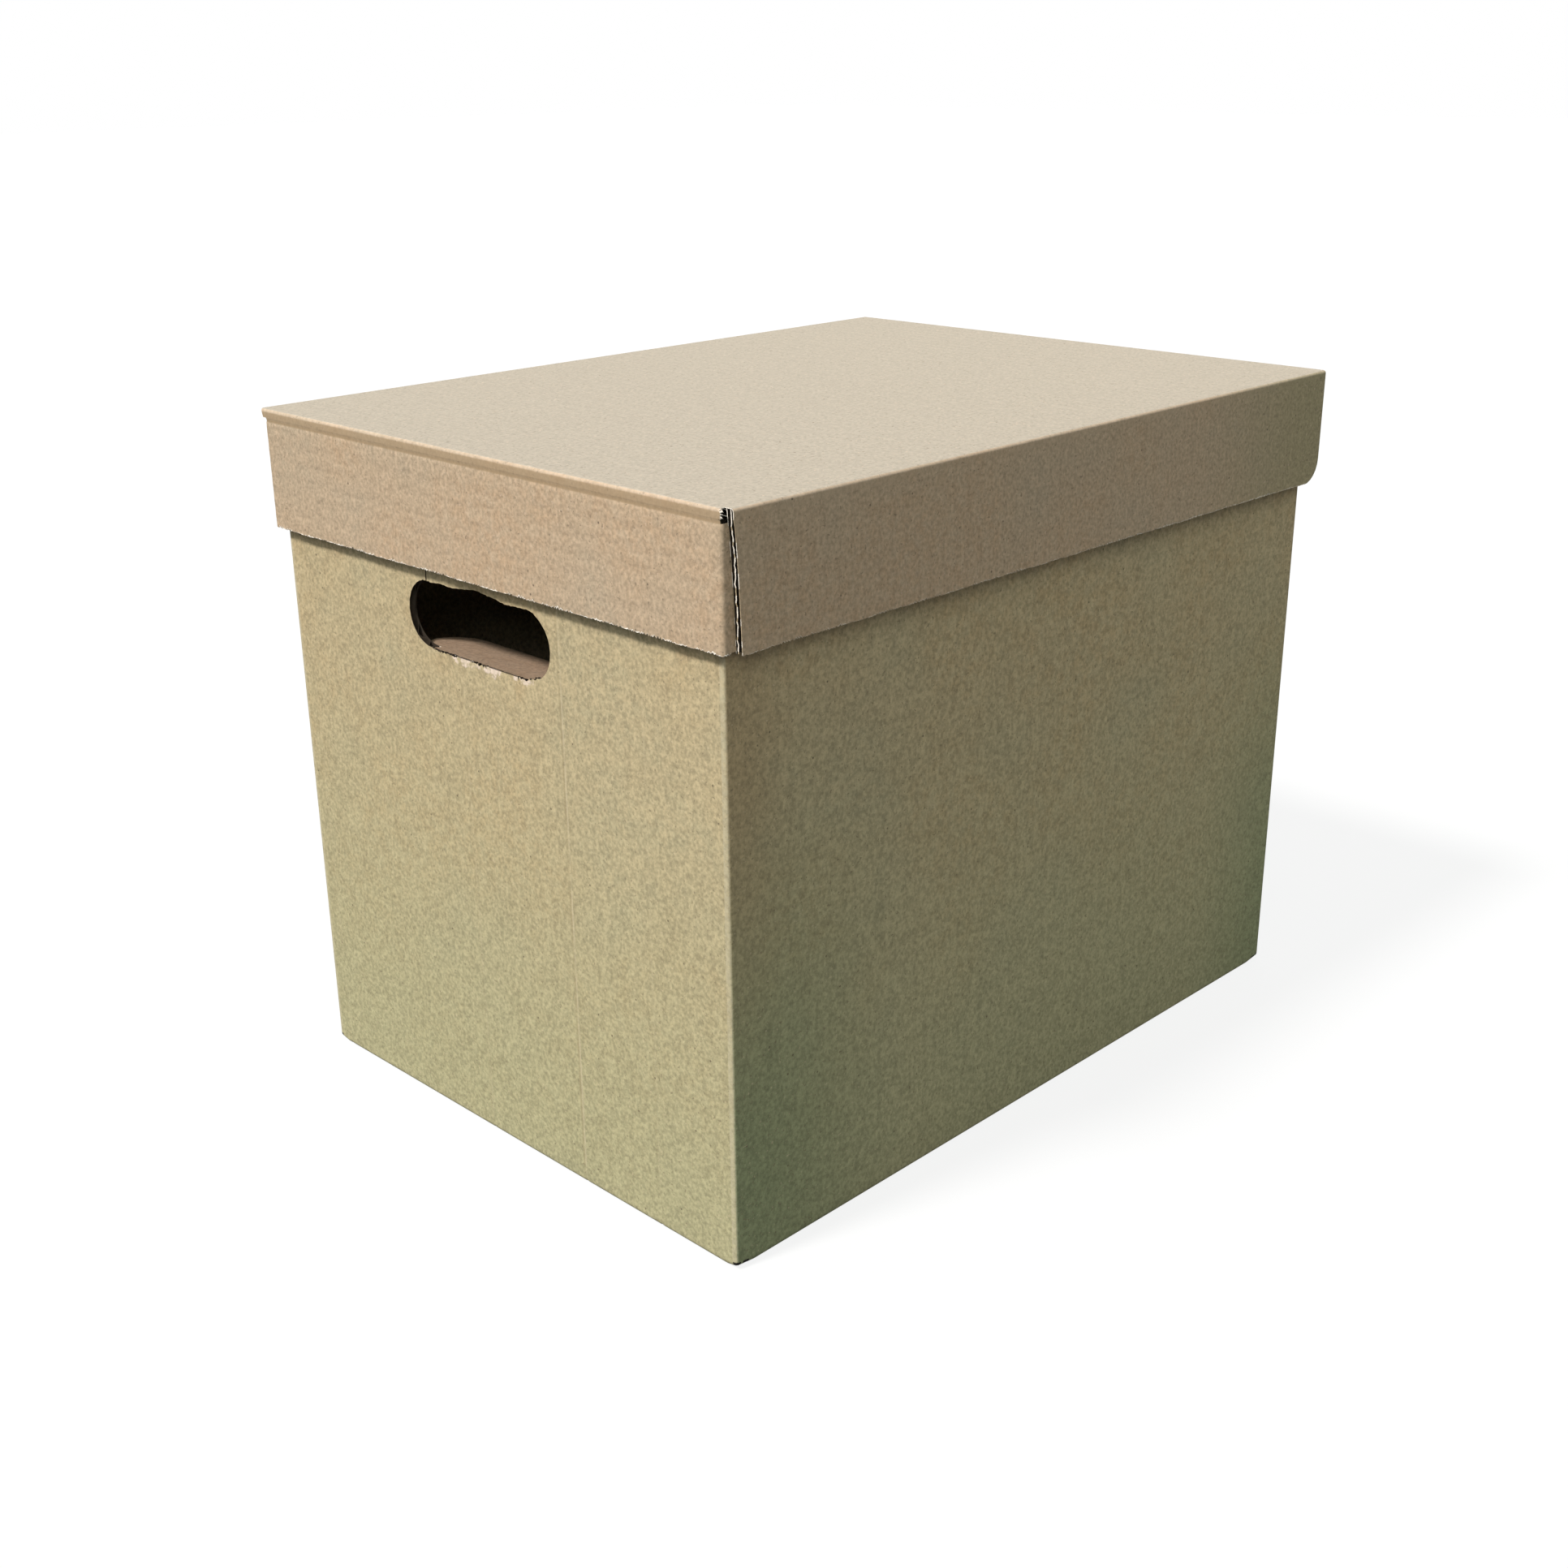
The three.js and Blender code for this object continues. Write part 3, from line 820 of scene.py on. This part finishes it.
hole_features = [slit_place - slit_half, slit_place + slit_half, *[place for place, size in cracks]]
hole_features = [x - hole_offset for x in hole_features]
hole_marks = spread(-hole_length / 2 - hole_offset, hole_length / 2 - hole_offset, 0.5 * mm, *hole_features)


def crease_fibres(piece, turn, distance):
    """Fibres torn up along the cut stretches of a hand hole's crease."""
    dice = random.Random(17)
    for start, end in cut_stretches:
        for k in range(round((end - start) / fibre_pitch)):
            x = start + fibre_pitch * (k + dice.random()) - hole_offset
            length = dice.uniform(0.9, 2.4) * mm * dice.choice((1, 1, -1))
            depth = dice.uniform(0.1, 0.6) * mm
            z = hole_bottom - dice.uniform(0.1, 0.9) * mm
            rise = dice.uniform(-0.3, 0.7) * mm
            root = turned(turn, x, depth - distance, z)
            tip = turned(turn, x + length, depth - distance - dice.uniform(0, 0.5) * mm, z + rise)
            piece.sliver(root, tip, dice.uniform(0.15, 0.35) * mm, dice.choice((CUT, INNER, INNER)))


def wall(side, forms, ridges=()):
    """A body wall. forms gives its ends towards +x and -x: folded, raw, or folded on into the glue tab."""
    turn = turns[side]
    piece = Piece()
    depths = layers(0.0, folds=[0])
    has_hole = side in ("front", "rear")
    has_tab = "tab" in forms
    half, distance = (body_width / 2, body_length / 2) if has_hole else (body_length / 2, body_width / 2)
    run, slot_run = (end_lift_run, end_slot_run) if has_hole else (side_lift_run, side_slot_run)
    plus_half = half - board - glue_gap if has_tab else half
    past_fold = {"fold": mitre_reach, "tab": tab_reach, "raw": fold_radius - raw_setback}
    high_end = plus_half - fold_radius + past_fold[forms[0]]
    low_end = fold_radius - half - past_fold[forms[1]]
    flat_low = low_end if forms[1] == "raw" else board - half
    flat_high = high_end if forms[0] == "raw" else plus_half - board
    holes = hole_marks if has_hole else []
    edge = hole_edge if has_hole else pale_edge

    def is_raw(s):
        return forms[0 if s > 0 else 1] == "raw"

    def pressed(s, depth):
        """Beside a raw end the knife has pressed the outer liner towards the inner one."""
        share = max(0, 1 - (half - raw_setback - abs(s)) / seam_reach) if is_raw(s) else 0
        return board - (board - depth) * (1 - seam_crush * share**2)

    def place(s, q, depth):
        inward, z = round_fold(q, pressed(s, depth))
        x, y = (s, inward) if is_raw(s) else round_corner(plus_half if s > 0 else half, s, inward)
        return turned(turn, x, y - distance, lifted(half, run, s, z))

    def flat_place(s, q, depth):
        return turned(turn, s, pressed(s, depth) - distance, lifted(half, run, s, q))

    def ridged(depth):
        def pushed(s, q):
            away = min([ridge_width, *[abs(s + r) for r in ridges]])
            return depth(s, q) + ridge_depth * (1 - away / ridge_width)

        return pushed

    def spans_for(layer):
        depth = {"outer": 0, "inner": board - liner}.get(layer)

        def spans(s):
            trim = 0.05 * mm if has_tab else 0.12 * mm * (1 + wander(s, 5, 3.1 * mm, 1.7 * mm)) / 2
            rim = body_height - trim
            inside = depths["medium"][0](s, 0) if depth is None else depth
            folded_foot = slot_end if abs(s) > plus_half - slot_run else fold_end
            foot = {"outer": folded_foot, "inner": 0, "medium": foot_height(inside)}[layer]
            return hole_spans(s, foot, rim, inside, layer != "outer") if has_hole else [(foot, rim)]

        return spans

    marks = [k * ridge_width / 2 - r for r in ridges for k in range(-2, 3)]
    marks += corner_marks(half, fold_radius)
    if has_tab:
        marks += corner_marks(plus_half, fold_radius)
    else:
        marks += [sign * (half - d) for d in (run, slot_run) for sign in (1, -1)]
    stations = spread(low_end, high_end, wall_step, *marks, *holes)
    outer = [ridged(depth) for depth in depths["outer"]]
    looks = sides
    if "raw" in forms:
        looks = {layer: tuple(INNER if f == SHADE else f for f in pair) for layer, pair in sides.items()}
    rows = [lift_height / 2, lift_height]
    piece.sheet(stations, spans_for("outer"), fold_breaks, place, *outer, looks["outer"], edge)
    flat_ends = (flat_low, flat_high)
    piece.plies(("inner", "medium"), flat_ends, holes, spans_for, rows, flat_place, depths, edge, looks)
    if has_hole:
        crease_fibres(piece, turn, distance)
    name, axis = (side + "_end_wall", "Y") if has_hole else (side + "_side_wall", "X")
    piece.finish(name, liners("body", axis), "box_body", "body_board")


wall("right", ("fold", "fold"))
wall("left", ("fold", "raw"))
wall("front", ("fold", "fold"), ridge_places)
wall("rear", ("tab", "fold"))


def glue_tab():
    """The tab runs along the inside of the left wall from the rear wall's fold."""
    piece = Piece()
    outer = body_width / 2 - board - glue_gap
    start = -body_length / 2 + flap_start
    length = glue_tab_width - flap_start
    slope_start = length - glue_tab_slope
    bottom = floor_height + glue_tab_inset
    top = body_height - glue_tab_inset

    def place(y, z, depth):
        return turned(turns["rear"], outer - depth, start + y, z)

    def spans(y):
        drop = max(0, y - slope_start)
        return [(bottom + drop, top - drop)]

    piece.plies(all_layers, (0, length), [slope_start], every(spans), [], place, layers(0.0), pale_edge)
    piece.finish("glue_tab", liners("body", "X"), "box_body", "body_board")


glue_tab()


# The bottom flaps
def bottom_flap(name, outline, side, origin, lift, axis, rows=()):
    """A flat panel lying on its outer liner; x runs along its crease and y away from it."""
    piece = Piece()
    xs = [x for x, y in outline]

    def place(x, y, depth):
        return turned(turns[side], x, y + origin, lift(y) + depth)

    def spans(x):
        found = crossings(outline, x)
        low, high = found[-1]
        trim = 0.15 * mm * (1 + wander(x, 4, 2.9 * mm, 7.3 * mm)) / 2
        return found[:-1] + [(low, max(high - trim, low + 0.05 * mm))]

    ends = (min(xs), max(xs))
    piece.plies(all_layers, ends, xs, every(spans), rows, place, layers(0.0), pale_edge)
    piece.finish(name, liners("body", axis), "box_body", "body_board")


def tongue_lift(y):
    return floor_height * min(y / ramp_run, 1)


side_half = inside_length / 2 - flap_side_gap
end_half = inside_width / 2 - flap_side_gap
notch_half = tongue_width / 2 + notch_clearance
lock_outline = [(a * side_half, b * lock_flap_depth) for a, b in lock_flap_shares]
main_right = [
    (side_half, 0),
    (side_half * main_flap_edge_share, main_flap_depth),
    (notch_half + notch_flare, main_flap_depth),
    (notch_half, main_flap_depth - notch_depth),
]
main_outline = main_right + [(-x, y) for x, y in reversed(main_right)]
long_origin = flap_start - body_width / 2
short_origin = flap_start - body_length / 2
bottom_flap("lock_bottom_flap", lock_outline, "right", long_origin, every(0), "X")
bottom_flap("main_bottom_flap", main_outline, "left", long_origin, every(2 * flap_pitch), "X")
for end, sign in (("front", 1), ("rear", -1)):
    outline = [(sign * a * end_half, b * end_flap_depth) for a, b in end_flap_shares]
    bottom_flap(end + "_bottom_flap", outline, end, short_origin, every(flap_pitch), "Y")

tongue_half = tongue_width / 2
tongue_length = ramp_run + tongue_reach
tongue_right = [(tongue_half, 0), (tongue_half, ramp_run), (tongue_half - tongue_taper, tongue_length)]
tongue_outline = tongue_right + [(-x, y) for x, y in reversed(tongue_right)]
tongue_origin = long_origin + lock_flap_depth + fold_gap
bottom_flap("bottom_lock_tongue", tongue_outline, "right", tongue_origin, tongue_lift, "X", [ramp_run])


# The hand hole flaps, which ride on bodies of their own
def hand_flap(end):
    piece = Piece()
    depths = layers(0.0)
    cosine, sine = math.cos(fold_angle), math.sin(fold_angle)
    shoulder = board + 0.8 * mm

    def place(x, height, depth):
        inward = depth * cosine + height * sine
        z = height * cosine - depth * sine
        return turned(turns[end], x - hole_offset, inward - body_length / 2, hole_bottom + z)

    def half_width(height):
        if height < shoulder:
            return hole_half - kerf
        if height < hole_radius:
            passing = math.sqrt(height**2 - board**2)
            grow = math.sqrt(hole_radius**2 - (hole_radius - min(passing, hole_radius)) ** 2)
            return hole_half + grow - kerf
        return hole_half + math.sqrt(max((hole_radius - kerf) ** 2 - (height - hole_radius) ** 2, 0))

    heights = spread(0, hole_height - kerf, 1 * mm, shoulder, shoulder - hair, hole_radius)
    side = [(half_width(h), h) for h in heights]
    outline = side + [(-x, h) for x, h in reversed(side)]

    def spans_for(layer):
        base = {"outer": 0, "medium": 2.2 * mm, "inner": kerf + board * math.tan(groove_angle)}[layer]

        def spans(x):
            foot = base + (crease_gap(x, 5) if layer == "outer" else 0)
            ragged = 0.12 * mm * (1 + wander(x, 7, 2.3 * mm, 5.9 * mm)) / 2
            found = crossings(outline, x)
            return [(max(a, foot), b - ragged) for a, b in found if b - ragged > max(a, foot) + same]

        return spans

    reach = max(x for x, h in side)
    stations = spread(-reach, reach, 0.5 * mm, hole_half - kerf, kerf - hole_half)
    for layer in all_layers:
        piece.sheet(stations, spans_for(layer), [], place, *depths[layer], sides[layer], flap_edge)
    piece.finish(end + "_hand_hole_flap", liners("flap", "Y"), end + "_flap", "flap_board")


for end in ("front", "rear"):
    hand_flap(end)


# The lid
def top_panel():
    """The top panel's outer liner runs down over the folds to the walls; its near corner has torn open."""
    piece = Piece()
    half_x, half_y = lid_length / 2, lid_width / 2
    depths = layers(0.0, folds=[half_y, -half_y])
    reach = fold_radius * math.pi / 2 + overall_height - lid_wall_top - fold_radius

    def place(p, q, depth):
        x, drop_x = round_corner(half_x, p, depth)
        y, drop_y = round_corner(half_y, q, depth)
        return (x, y, overall_height - max(drop_x, drop_y))

    def flat_place(p, q, depth):
        return (p, q, overall_height - depth)

    arm_x, arm_y = half_x - fold_radius, half_y - fold_radius
    raw_end = half_x - setback_top
    far_end = half_x - far_setback

    def outer_spans(p):
        if abs(p) <= raw_end:
            return [(-arm_y - reach, arm_y + reach)]
        if 0 < p <= far_end:
            return [(-arm_y - reach, arm_y + fold_radius * math.pi / 8)]
        share = max(0, (abs(p) - arm_x) / reach)
        closed = arm_y + 0.05 * fold_radius * math.pi / 2
        closed += (lid_end_half + 0.9 * mm - closed) * share
        torn = lid_end_half - relief_width + 0.5 * mm * wander(p, 3, 1.9 * mm, 0.9 * mm)
        return [(-torn if p < 0 else -closed, closed)]

    marks = corner_marks(half_x, fold_radius)
    bends = corner_marks(half_y, fold_radius)
    bends += [sign * (half_y - step) for step in ease_steps[1:] for sign in (1, -1)]
    stations = spread(-arm_x - reach, arm_x + reach, wall_step, *marks, raw_end, -raw_end, far_end)
    piece.sheet(stations, outer_spans, bends, place, *depths["outer"], sides["outer"], pale_edge)
    dice = random.Random(5)
    for k in range(torn_fibres):
        x = dice.uniform(0.2, 0.9) * mm - half_x
        z = overall_height - dice.uniform(3.8, 0.3) * mm
        root = (x, relief_width - lid_end_half, z)
        y = root[1] - dice.uniform(0.7, 2.1) * mm
        tip = (x - dice.uniform(0, 0.15) * mm, y, z + dice.uniform(-0.9, 0.2) * mm)
        piece.sliver(root, tip, dice.uniform(0.35, 0.8) * mm, CUT)
    ends = (board - half_x, half_x - board)
    spans = every(every([(board - half_y, half_y - board)]))
    piece.plies(("medium", "inner"), ends, [], spans, [], flat_place, depths, pale_edge)
    piece.finish("lid_top_panel", liners("top", "X"), "lid", "lid_board")


top_panel()


def fold_ceiling(depth):
    """How high a lid side wall's inner layers run at a depth, just inside the fold of the outer liner."""
    over = max(fold_radius - depth, 0)
    rise = math.sqrt(max((fold_radius - liner) ** 2 - over**2, 0))
    return overall_height - fold_radius + rise - 0.05 * mm


def lid_side_wall(side):
    """A lid side wall with raw slanting ends, except the right one's far end, which has a rounded foot."""
    piece = Piece()
    seed = 2.0 if side == "right" else 4.0
    wide = lid_length / 2 - setback_top
    depths = layers(-wide)
    top = lid_wall_top
    height = top - skirt_bottom

    def place(p, q, depth):
        if side == "right" and p > 0:
            rounding = min(1, max(0, 1 - (q - skirt_bottom) / far_corner))
            setback = far_setback + far_corner * (1 - math.sqrt(1 - rounding**2))
        else:
            setback = setback_top + (setback_bottom - setback_top) * (max(0, top - q) / height) ** 0.6
        return turned(turns[side], p * (lid_length / 2 - setback) / wide, depth - lid_width / 2, q)

    def crushed(depth, swell, sway):
        """Beside the raw ends a layer is swollen by the knife and sways between its neighbours."""

        def moved(p, q):
            near = math.exp(-(wide - abs(p)) / crush_reach)
            bend = 0.9 * wander(q, 3.0 if p < 0 else 6.0, 21 * mm, 7.1 * mm, 3.7 * mm)
            bend += 1.1 * ((top - q) / height - 0.4)
            rough = 1 + 0.5 * wander(q, seed, 5.1 * mm, 2.3 * mm)
            return depth(p, q) + near * (swell * rough + sway * bend)

        return moved

    low, high = depths["medium"]
    depths["medium"] = (crushed(low, -0.1 * mm, 0.6 * mm), crushed(high, 0.1 * mm, 0.6 * mm))

    def spans_for(layer):
        def spans(p):
            if layer == "outer":
                return frayed_spans(skirt_bottom, top, p, seed, side_fray)
            return [(skirt_bottom + 0.2 * mm + teeth(p, seed), fold_ceiling(depths[layer][0](p, top)))]

        return spans

    rows = [skirt_bottom + height * k / skirt_rows for k in range(1, skirt_rows)]
    corner_angles = [math.pi / 2 * k / arc_steps for k in range(1, arc_steps + 1)]
    corner_rows = [skirt_bottom + far_corner * (1 - math.cos(angle)) for angle in corner_angles]
    few_rows = corner_rows + rows[9::4]
    near_ends = [sign * (wide - lid_step * k) for k in range(1, 6) for sign in (1, -1)]
    sheets = {
        "outer": (lid_step, few_rows, frayed_sides, rubbed_edge),
        "medium": (flute_step, corner_rows + rows, sides["medium"], torn_edge),
        "inner": (2 * lid_step, few_rows, sides["inner"], rubbed_edge),
    }
    for layer, (step, rows_here, finish, edge) in sheets.items():
        stations = spread(-wide, wide, step, *near_ends)
        piece.sheet(stations, spans_for(layer), rows_here, place, *depths[layer], finish, edge)
    piece.finish(f"lid_{side}_side_wall", liners("lid", "X", -wide), "lid", "lid_board")


for side in ("right", "left"):
    lid_side_wall(side)


def lid_end_wall(end):
    """A lid end wall: a second score, one torn corner, and rounded ends that turn into the tabs."""
    turn = turns[end]
    piece = Piece()
    half = lid_end_half
    top = lid_wall_top
    phase = skirt_bottom
    depths = layers(phase, along_q=True)
    reach = half - corner_radius + lid_tab_reach
    relief = half - relief_width if end == "front" else reach
    relief_bottom = overall_height - relief_drop
    seed = 1.0 if end == "front" else 5.0
    score = overall_height - score_drop

    def place(s, q, depth):
        x, y = round_corner(half, s, depth, corner_radius)
        return turned(turn, x, y - lid_length / 2, q)

    def scored(depth):
        def moved(s, q):
            groove = max(0, 1 - abs(q - score) / score_width)
            return depth(s, q) + score_depth * groove

        return moved

    # painted shade: cut edges higher than the score's drop above the foot, round the torn corner, get the
    # near-black finish
    def edge(q):
        return CUT if q < skirt_bottom + score_drop else SHADE

    def outer_spans(s):
        return frayed_spans(skirt_bottom, relief_bottom if s > relief else top, s, seed, end_fray)

    def inner_spans(s):
        return [(skirt_bottom + teeth(s, seed), top)]

    score_marks = [score + k * score_width for k in (-1, 0, 1)]
    rows = spread(skirt_bottom + 2.4 * mm, top - 0.1 * mm, flute_pitch / 5, *score_marks)
    stations = spread(-reach, reach, lid_step, *corner_marks(half, corner_radius), relief)
    low, high = depths["outer"]
    piece.sheet(stations, outer_spans, rows, place, scored(low), scored(high), frayed_sides, edge)
    flat_half = half - board
    stations = spread(-flat_half, flat_half, lid_step)
    piece.sheet(stations, inner_spans, [], place, *depths["inner"], sides["inner"], edge)

    def medium_place(z, s, depth):
        return turned(turn, s, depth - lid_length / 2, z)

    spans = every([(-flat_half, flat_half)])
    stations = spread(skirt_bottom + 1.2 * mm, top, flute_step)
    low, high = layers(phase)["medium"]
    piece.sheet(stations, spans, [], medium_place, low, high, sides["medium"], pale_edge)
    piece.finish(f"lid_{end}_end_wall", liners("lid", "Z", phase), "lid", "lid_board")


def lid_corner_tab(end, side, sign):
    """A corner tab, glued inside the side wall, with horizontal flutes and a leaning free end."""
    piece = Piece()
    start = flap_start - lid_length / 2
    length = corner_tab_length - flap_start
    slope_start = length - corner_tab_slope
    bottom = skirt_bottom + corner_tab_inset
    depths = layers(skirt_bottom, along_q=True)

    def place(y, z, depth):
        return turned(turns[end], sign * (lid_end_half - depth), start + y, z)

    def spans(y):
        return [(bottom + max(0, y - slope_start), lid_wall_top)]

    liners_only, ends = ("outer", "inner"), (0, length)
    piece.plies(liners_only, ends, [slope_start], every(spans), [], place, depths, painted_shade_edge)

    def medium_place(z, y, depth):
        return place(y, z, depth)

    def medium_spans(z):
        return [(0, length - max(0, corner_tab_slope - (z - bottom)))]

    stations = spread(bottom, lid_wall_top, flute_step, bottom + corner_tab_slope)
    low, high = layers(skirt_bottom)["medium"]
    piece.sheet(stations, medium_spans, [], medium_place, low, high, sides["medium"], painted_shade_edge)
    piece.finish(f"lid_{end}_{side}_corner_tab", liners("lid", "Z", skirt_bottom), "lid", "lid_board")


for end, plus_side, minus_side in (("front", "right", "left"), ("rear", "left", "right")):
    lid_end_wall(end)
    lid_corner_tab(end, plus_side, 1)
    lid_corner_tab(end, minus_side, -1)


# The floor, the light and the camera
floor_size = 12
floor_grid = 24
floor_colour = (0.12, 0.12, 0.12, 1)
floor_glow = 0.85
fill_strength = 0.2
fill_colour = (0.92, 1, 0.95)
lamp_distance = 3

# Each lamp's direction, how many degrees wide it is, its strength and its colour
lamps = {
    "key_light": ((-2.1, 0.45, 2.92), 9, 3.62, (1, 0.985, 0.96)),
    "side_light": ((-0.58, -0.56, 0.6), 35, 0.94, fill_colour),
    "back_light": ((0.7, 0.6, 0.4), 60, 0.4, fill_colour),
}

# The camera stands at the photograph's viewing angle
camera_place = (-0.6856, -0.6533, 0.4912)
camera_angles = (-45.37, 21.09, -0.57)
sensor_width = 36
lens = 44.01
clip_near = 0.01
clip_far = 100


def stage_floor():
    mesh = bpy.data.meshes.new("studio_floor")
    work = bmesh.new()
    bmesh.ops.create_grid(work, x_segments=floor_grid, y_segments=floor_grid, size=floor_size)
    work.to_mesh(mesh)
    work.free()
    floor = bpy.data.objects.new("studio_floor", mesh)
    bpy.context.scene.collection.objects.link(floor)
    material = bpy.data.materials.new("pale_floor")
    g = Graph(material)
    g.shader.inputs["Base Color"].default_value = floor_colour
    g.shader.inputs["Roughness"].default_value = 0.9
    g.shader.inputs["Specular IOR Level"].default_value = 0.1
    glow = g.nodes.new("ShaderNodeEmission")
    seen = g.nodes.new("ShaderNodeLightPath").outputs["Is Camera Ray"]
    g.links.new(g.times(seen, floor_glow), glow.inputs["Strength"])
    both = g.nodes.new("ShaderNodeAddShader")
    g.links.new(g.shader.outputs[0], both.inputs[0])
    g.links.new(glow.outputs[0], both.inputs[1])
    g.links.new(both.outputs[0], g.nodes["Material Output"].inputs["Surface"])
    mesh.materials.append(material)


stage_floor()


def background(nodes, colour, strength):
    made = nodes.new("ShaderNodeBackground")
    made.inputs["Color"].default_value = (*colour, 1)
    made.inputs["Strength"].default_value = strength
    return made.outputs[0]


world = bpy.data.worlds.new("studio")
bpy.context.scene.world = world
world.use_nodes = True
nodes, links = world.node_tree.nodes, world.node_tree.links
nodes.clear()
path = nodes.new("ShaderNodeLightPath")
seen = path.outputs["Is Camera Ray"]
for ray in ("Is Glossy Ray", "Is Transmission Ray"):
    larger = nodes.new("ShaderNodeMath")
    larger.operation = "MAXIMUM"
    links.new(seen, larger.inputs[0])
    links.new(path.outputs[ray], larger.inputs[1])
    seen = larger.outputs[0]
either = nodes.new("ShaderNodeMixShader")
links.new(seen, either.inputs[0])
links.new(background(nodes, fill_colour, fill_strength), either.inputs[1])
links.new(background(nodes, (1, 1, 1), 1), either.inputs[2])
output = nodes.new("ShaderNodeOutputWorld")
links.new(either.outputs[0], output.inputs["Surface"])

for name, (direction, width, strength, colour) in lamps.items():
    lamp = bpy.data.lights.new(name, "SUN")
    lamp.angle = math.radians(width)
    lamp.energy = strength
    lamp.color = colour
    made = bpy.data.objects.new(name, lamp)
    towards = Vector(direction).normalized()
    made.location = towards * lamp_distance
    made.rotation_mode = "QUATERNION"
    made.rotation_quaternion = (-towards).to_track_quat("-Z", "Y")
    bpy.context.scene.collection.objects.link(made)

azimuth, elevation, roll = [math.radians(angle) for angle in camera_angles]
flat_back = Vector((math.sin(azimuth), -math.cos(azimuth), 0)) * math.cos(elevation)
back = flat_back + Vector((0, 0, math.sin(elevation)))
right = Vector((math.cos(azimuth), math.sin(azimuth), 0))
up = back.cross(right)
level_right = right * math.cos(roll) + up * math.sin(roll)
level_up = up * math.cos(roll) - right * math.sin(roll)
camera_data = bpy.data.cameras.new("camera")
camera_data.sensor_width = sensor_width
camera_data.lens = lens
camera_data.clip_start = clip_near
camera_data.clip_end = clip_far
camera = bpy.data.objects.new("camera", camera_data)
bpy.context.scene.collection.objects.link(camera)
rotation = Matrix((level_right, level_up, back)).transposed().to_4x4()
camera.matrix_world = Matrix.Translation(camera_place) @ rotation
bpy.context.scene.camera = camera
bpy.context.scene.view_settings.view_transform = "Standard"

bpy.context.view_layer.update()
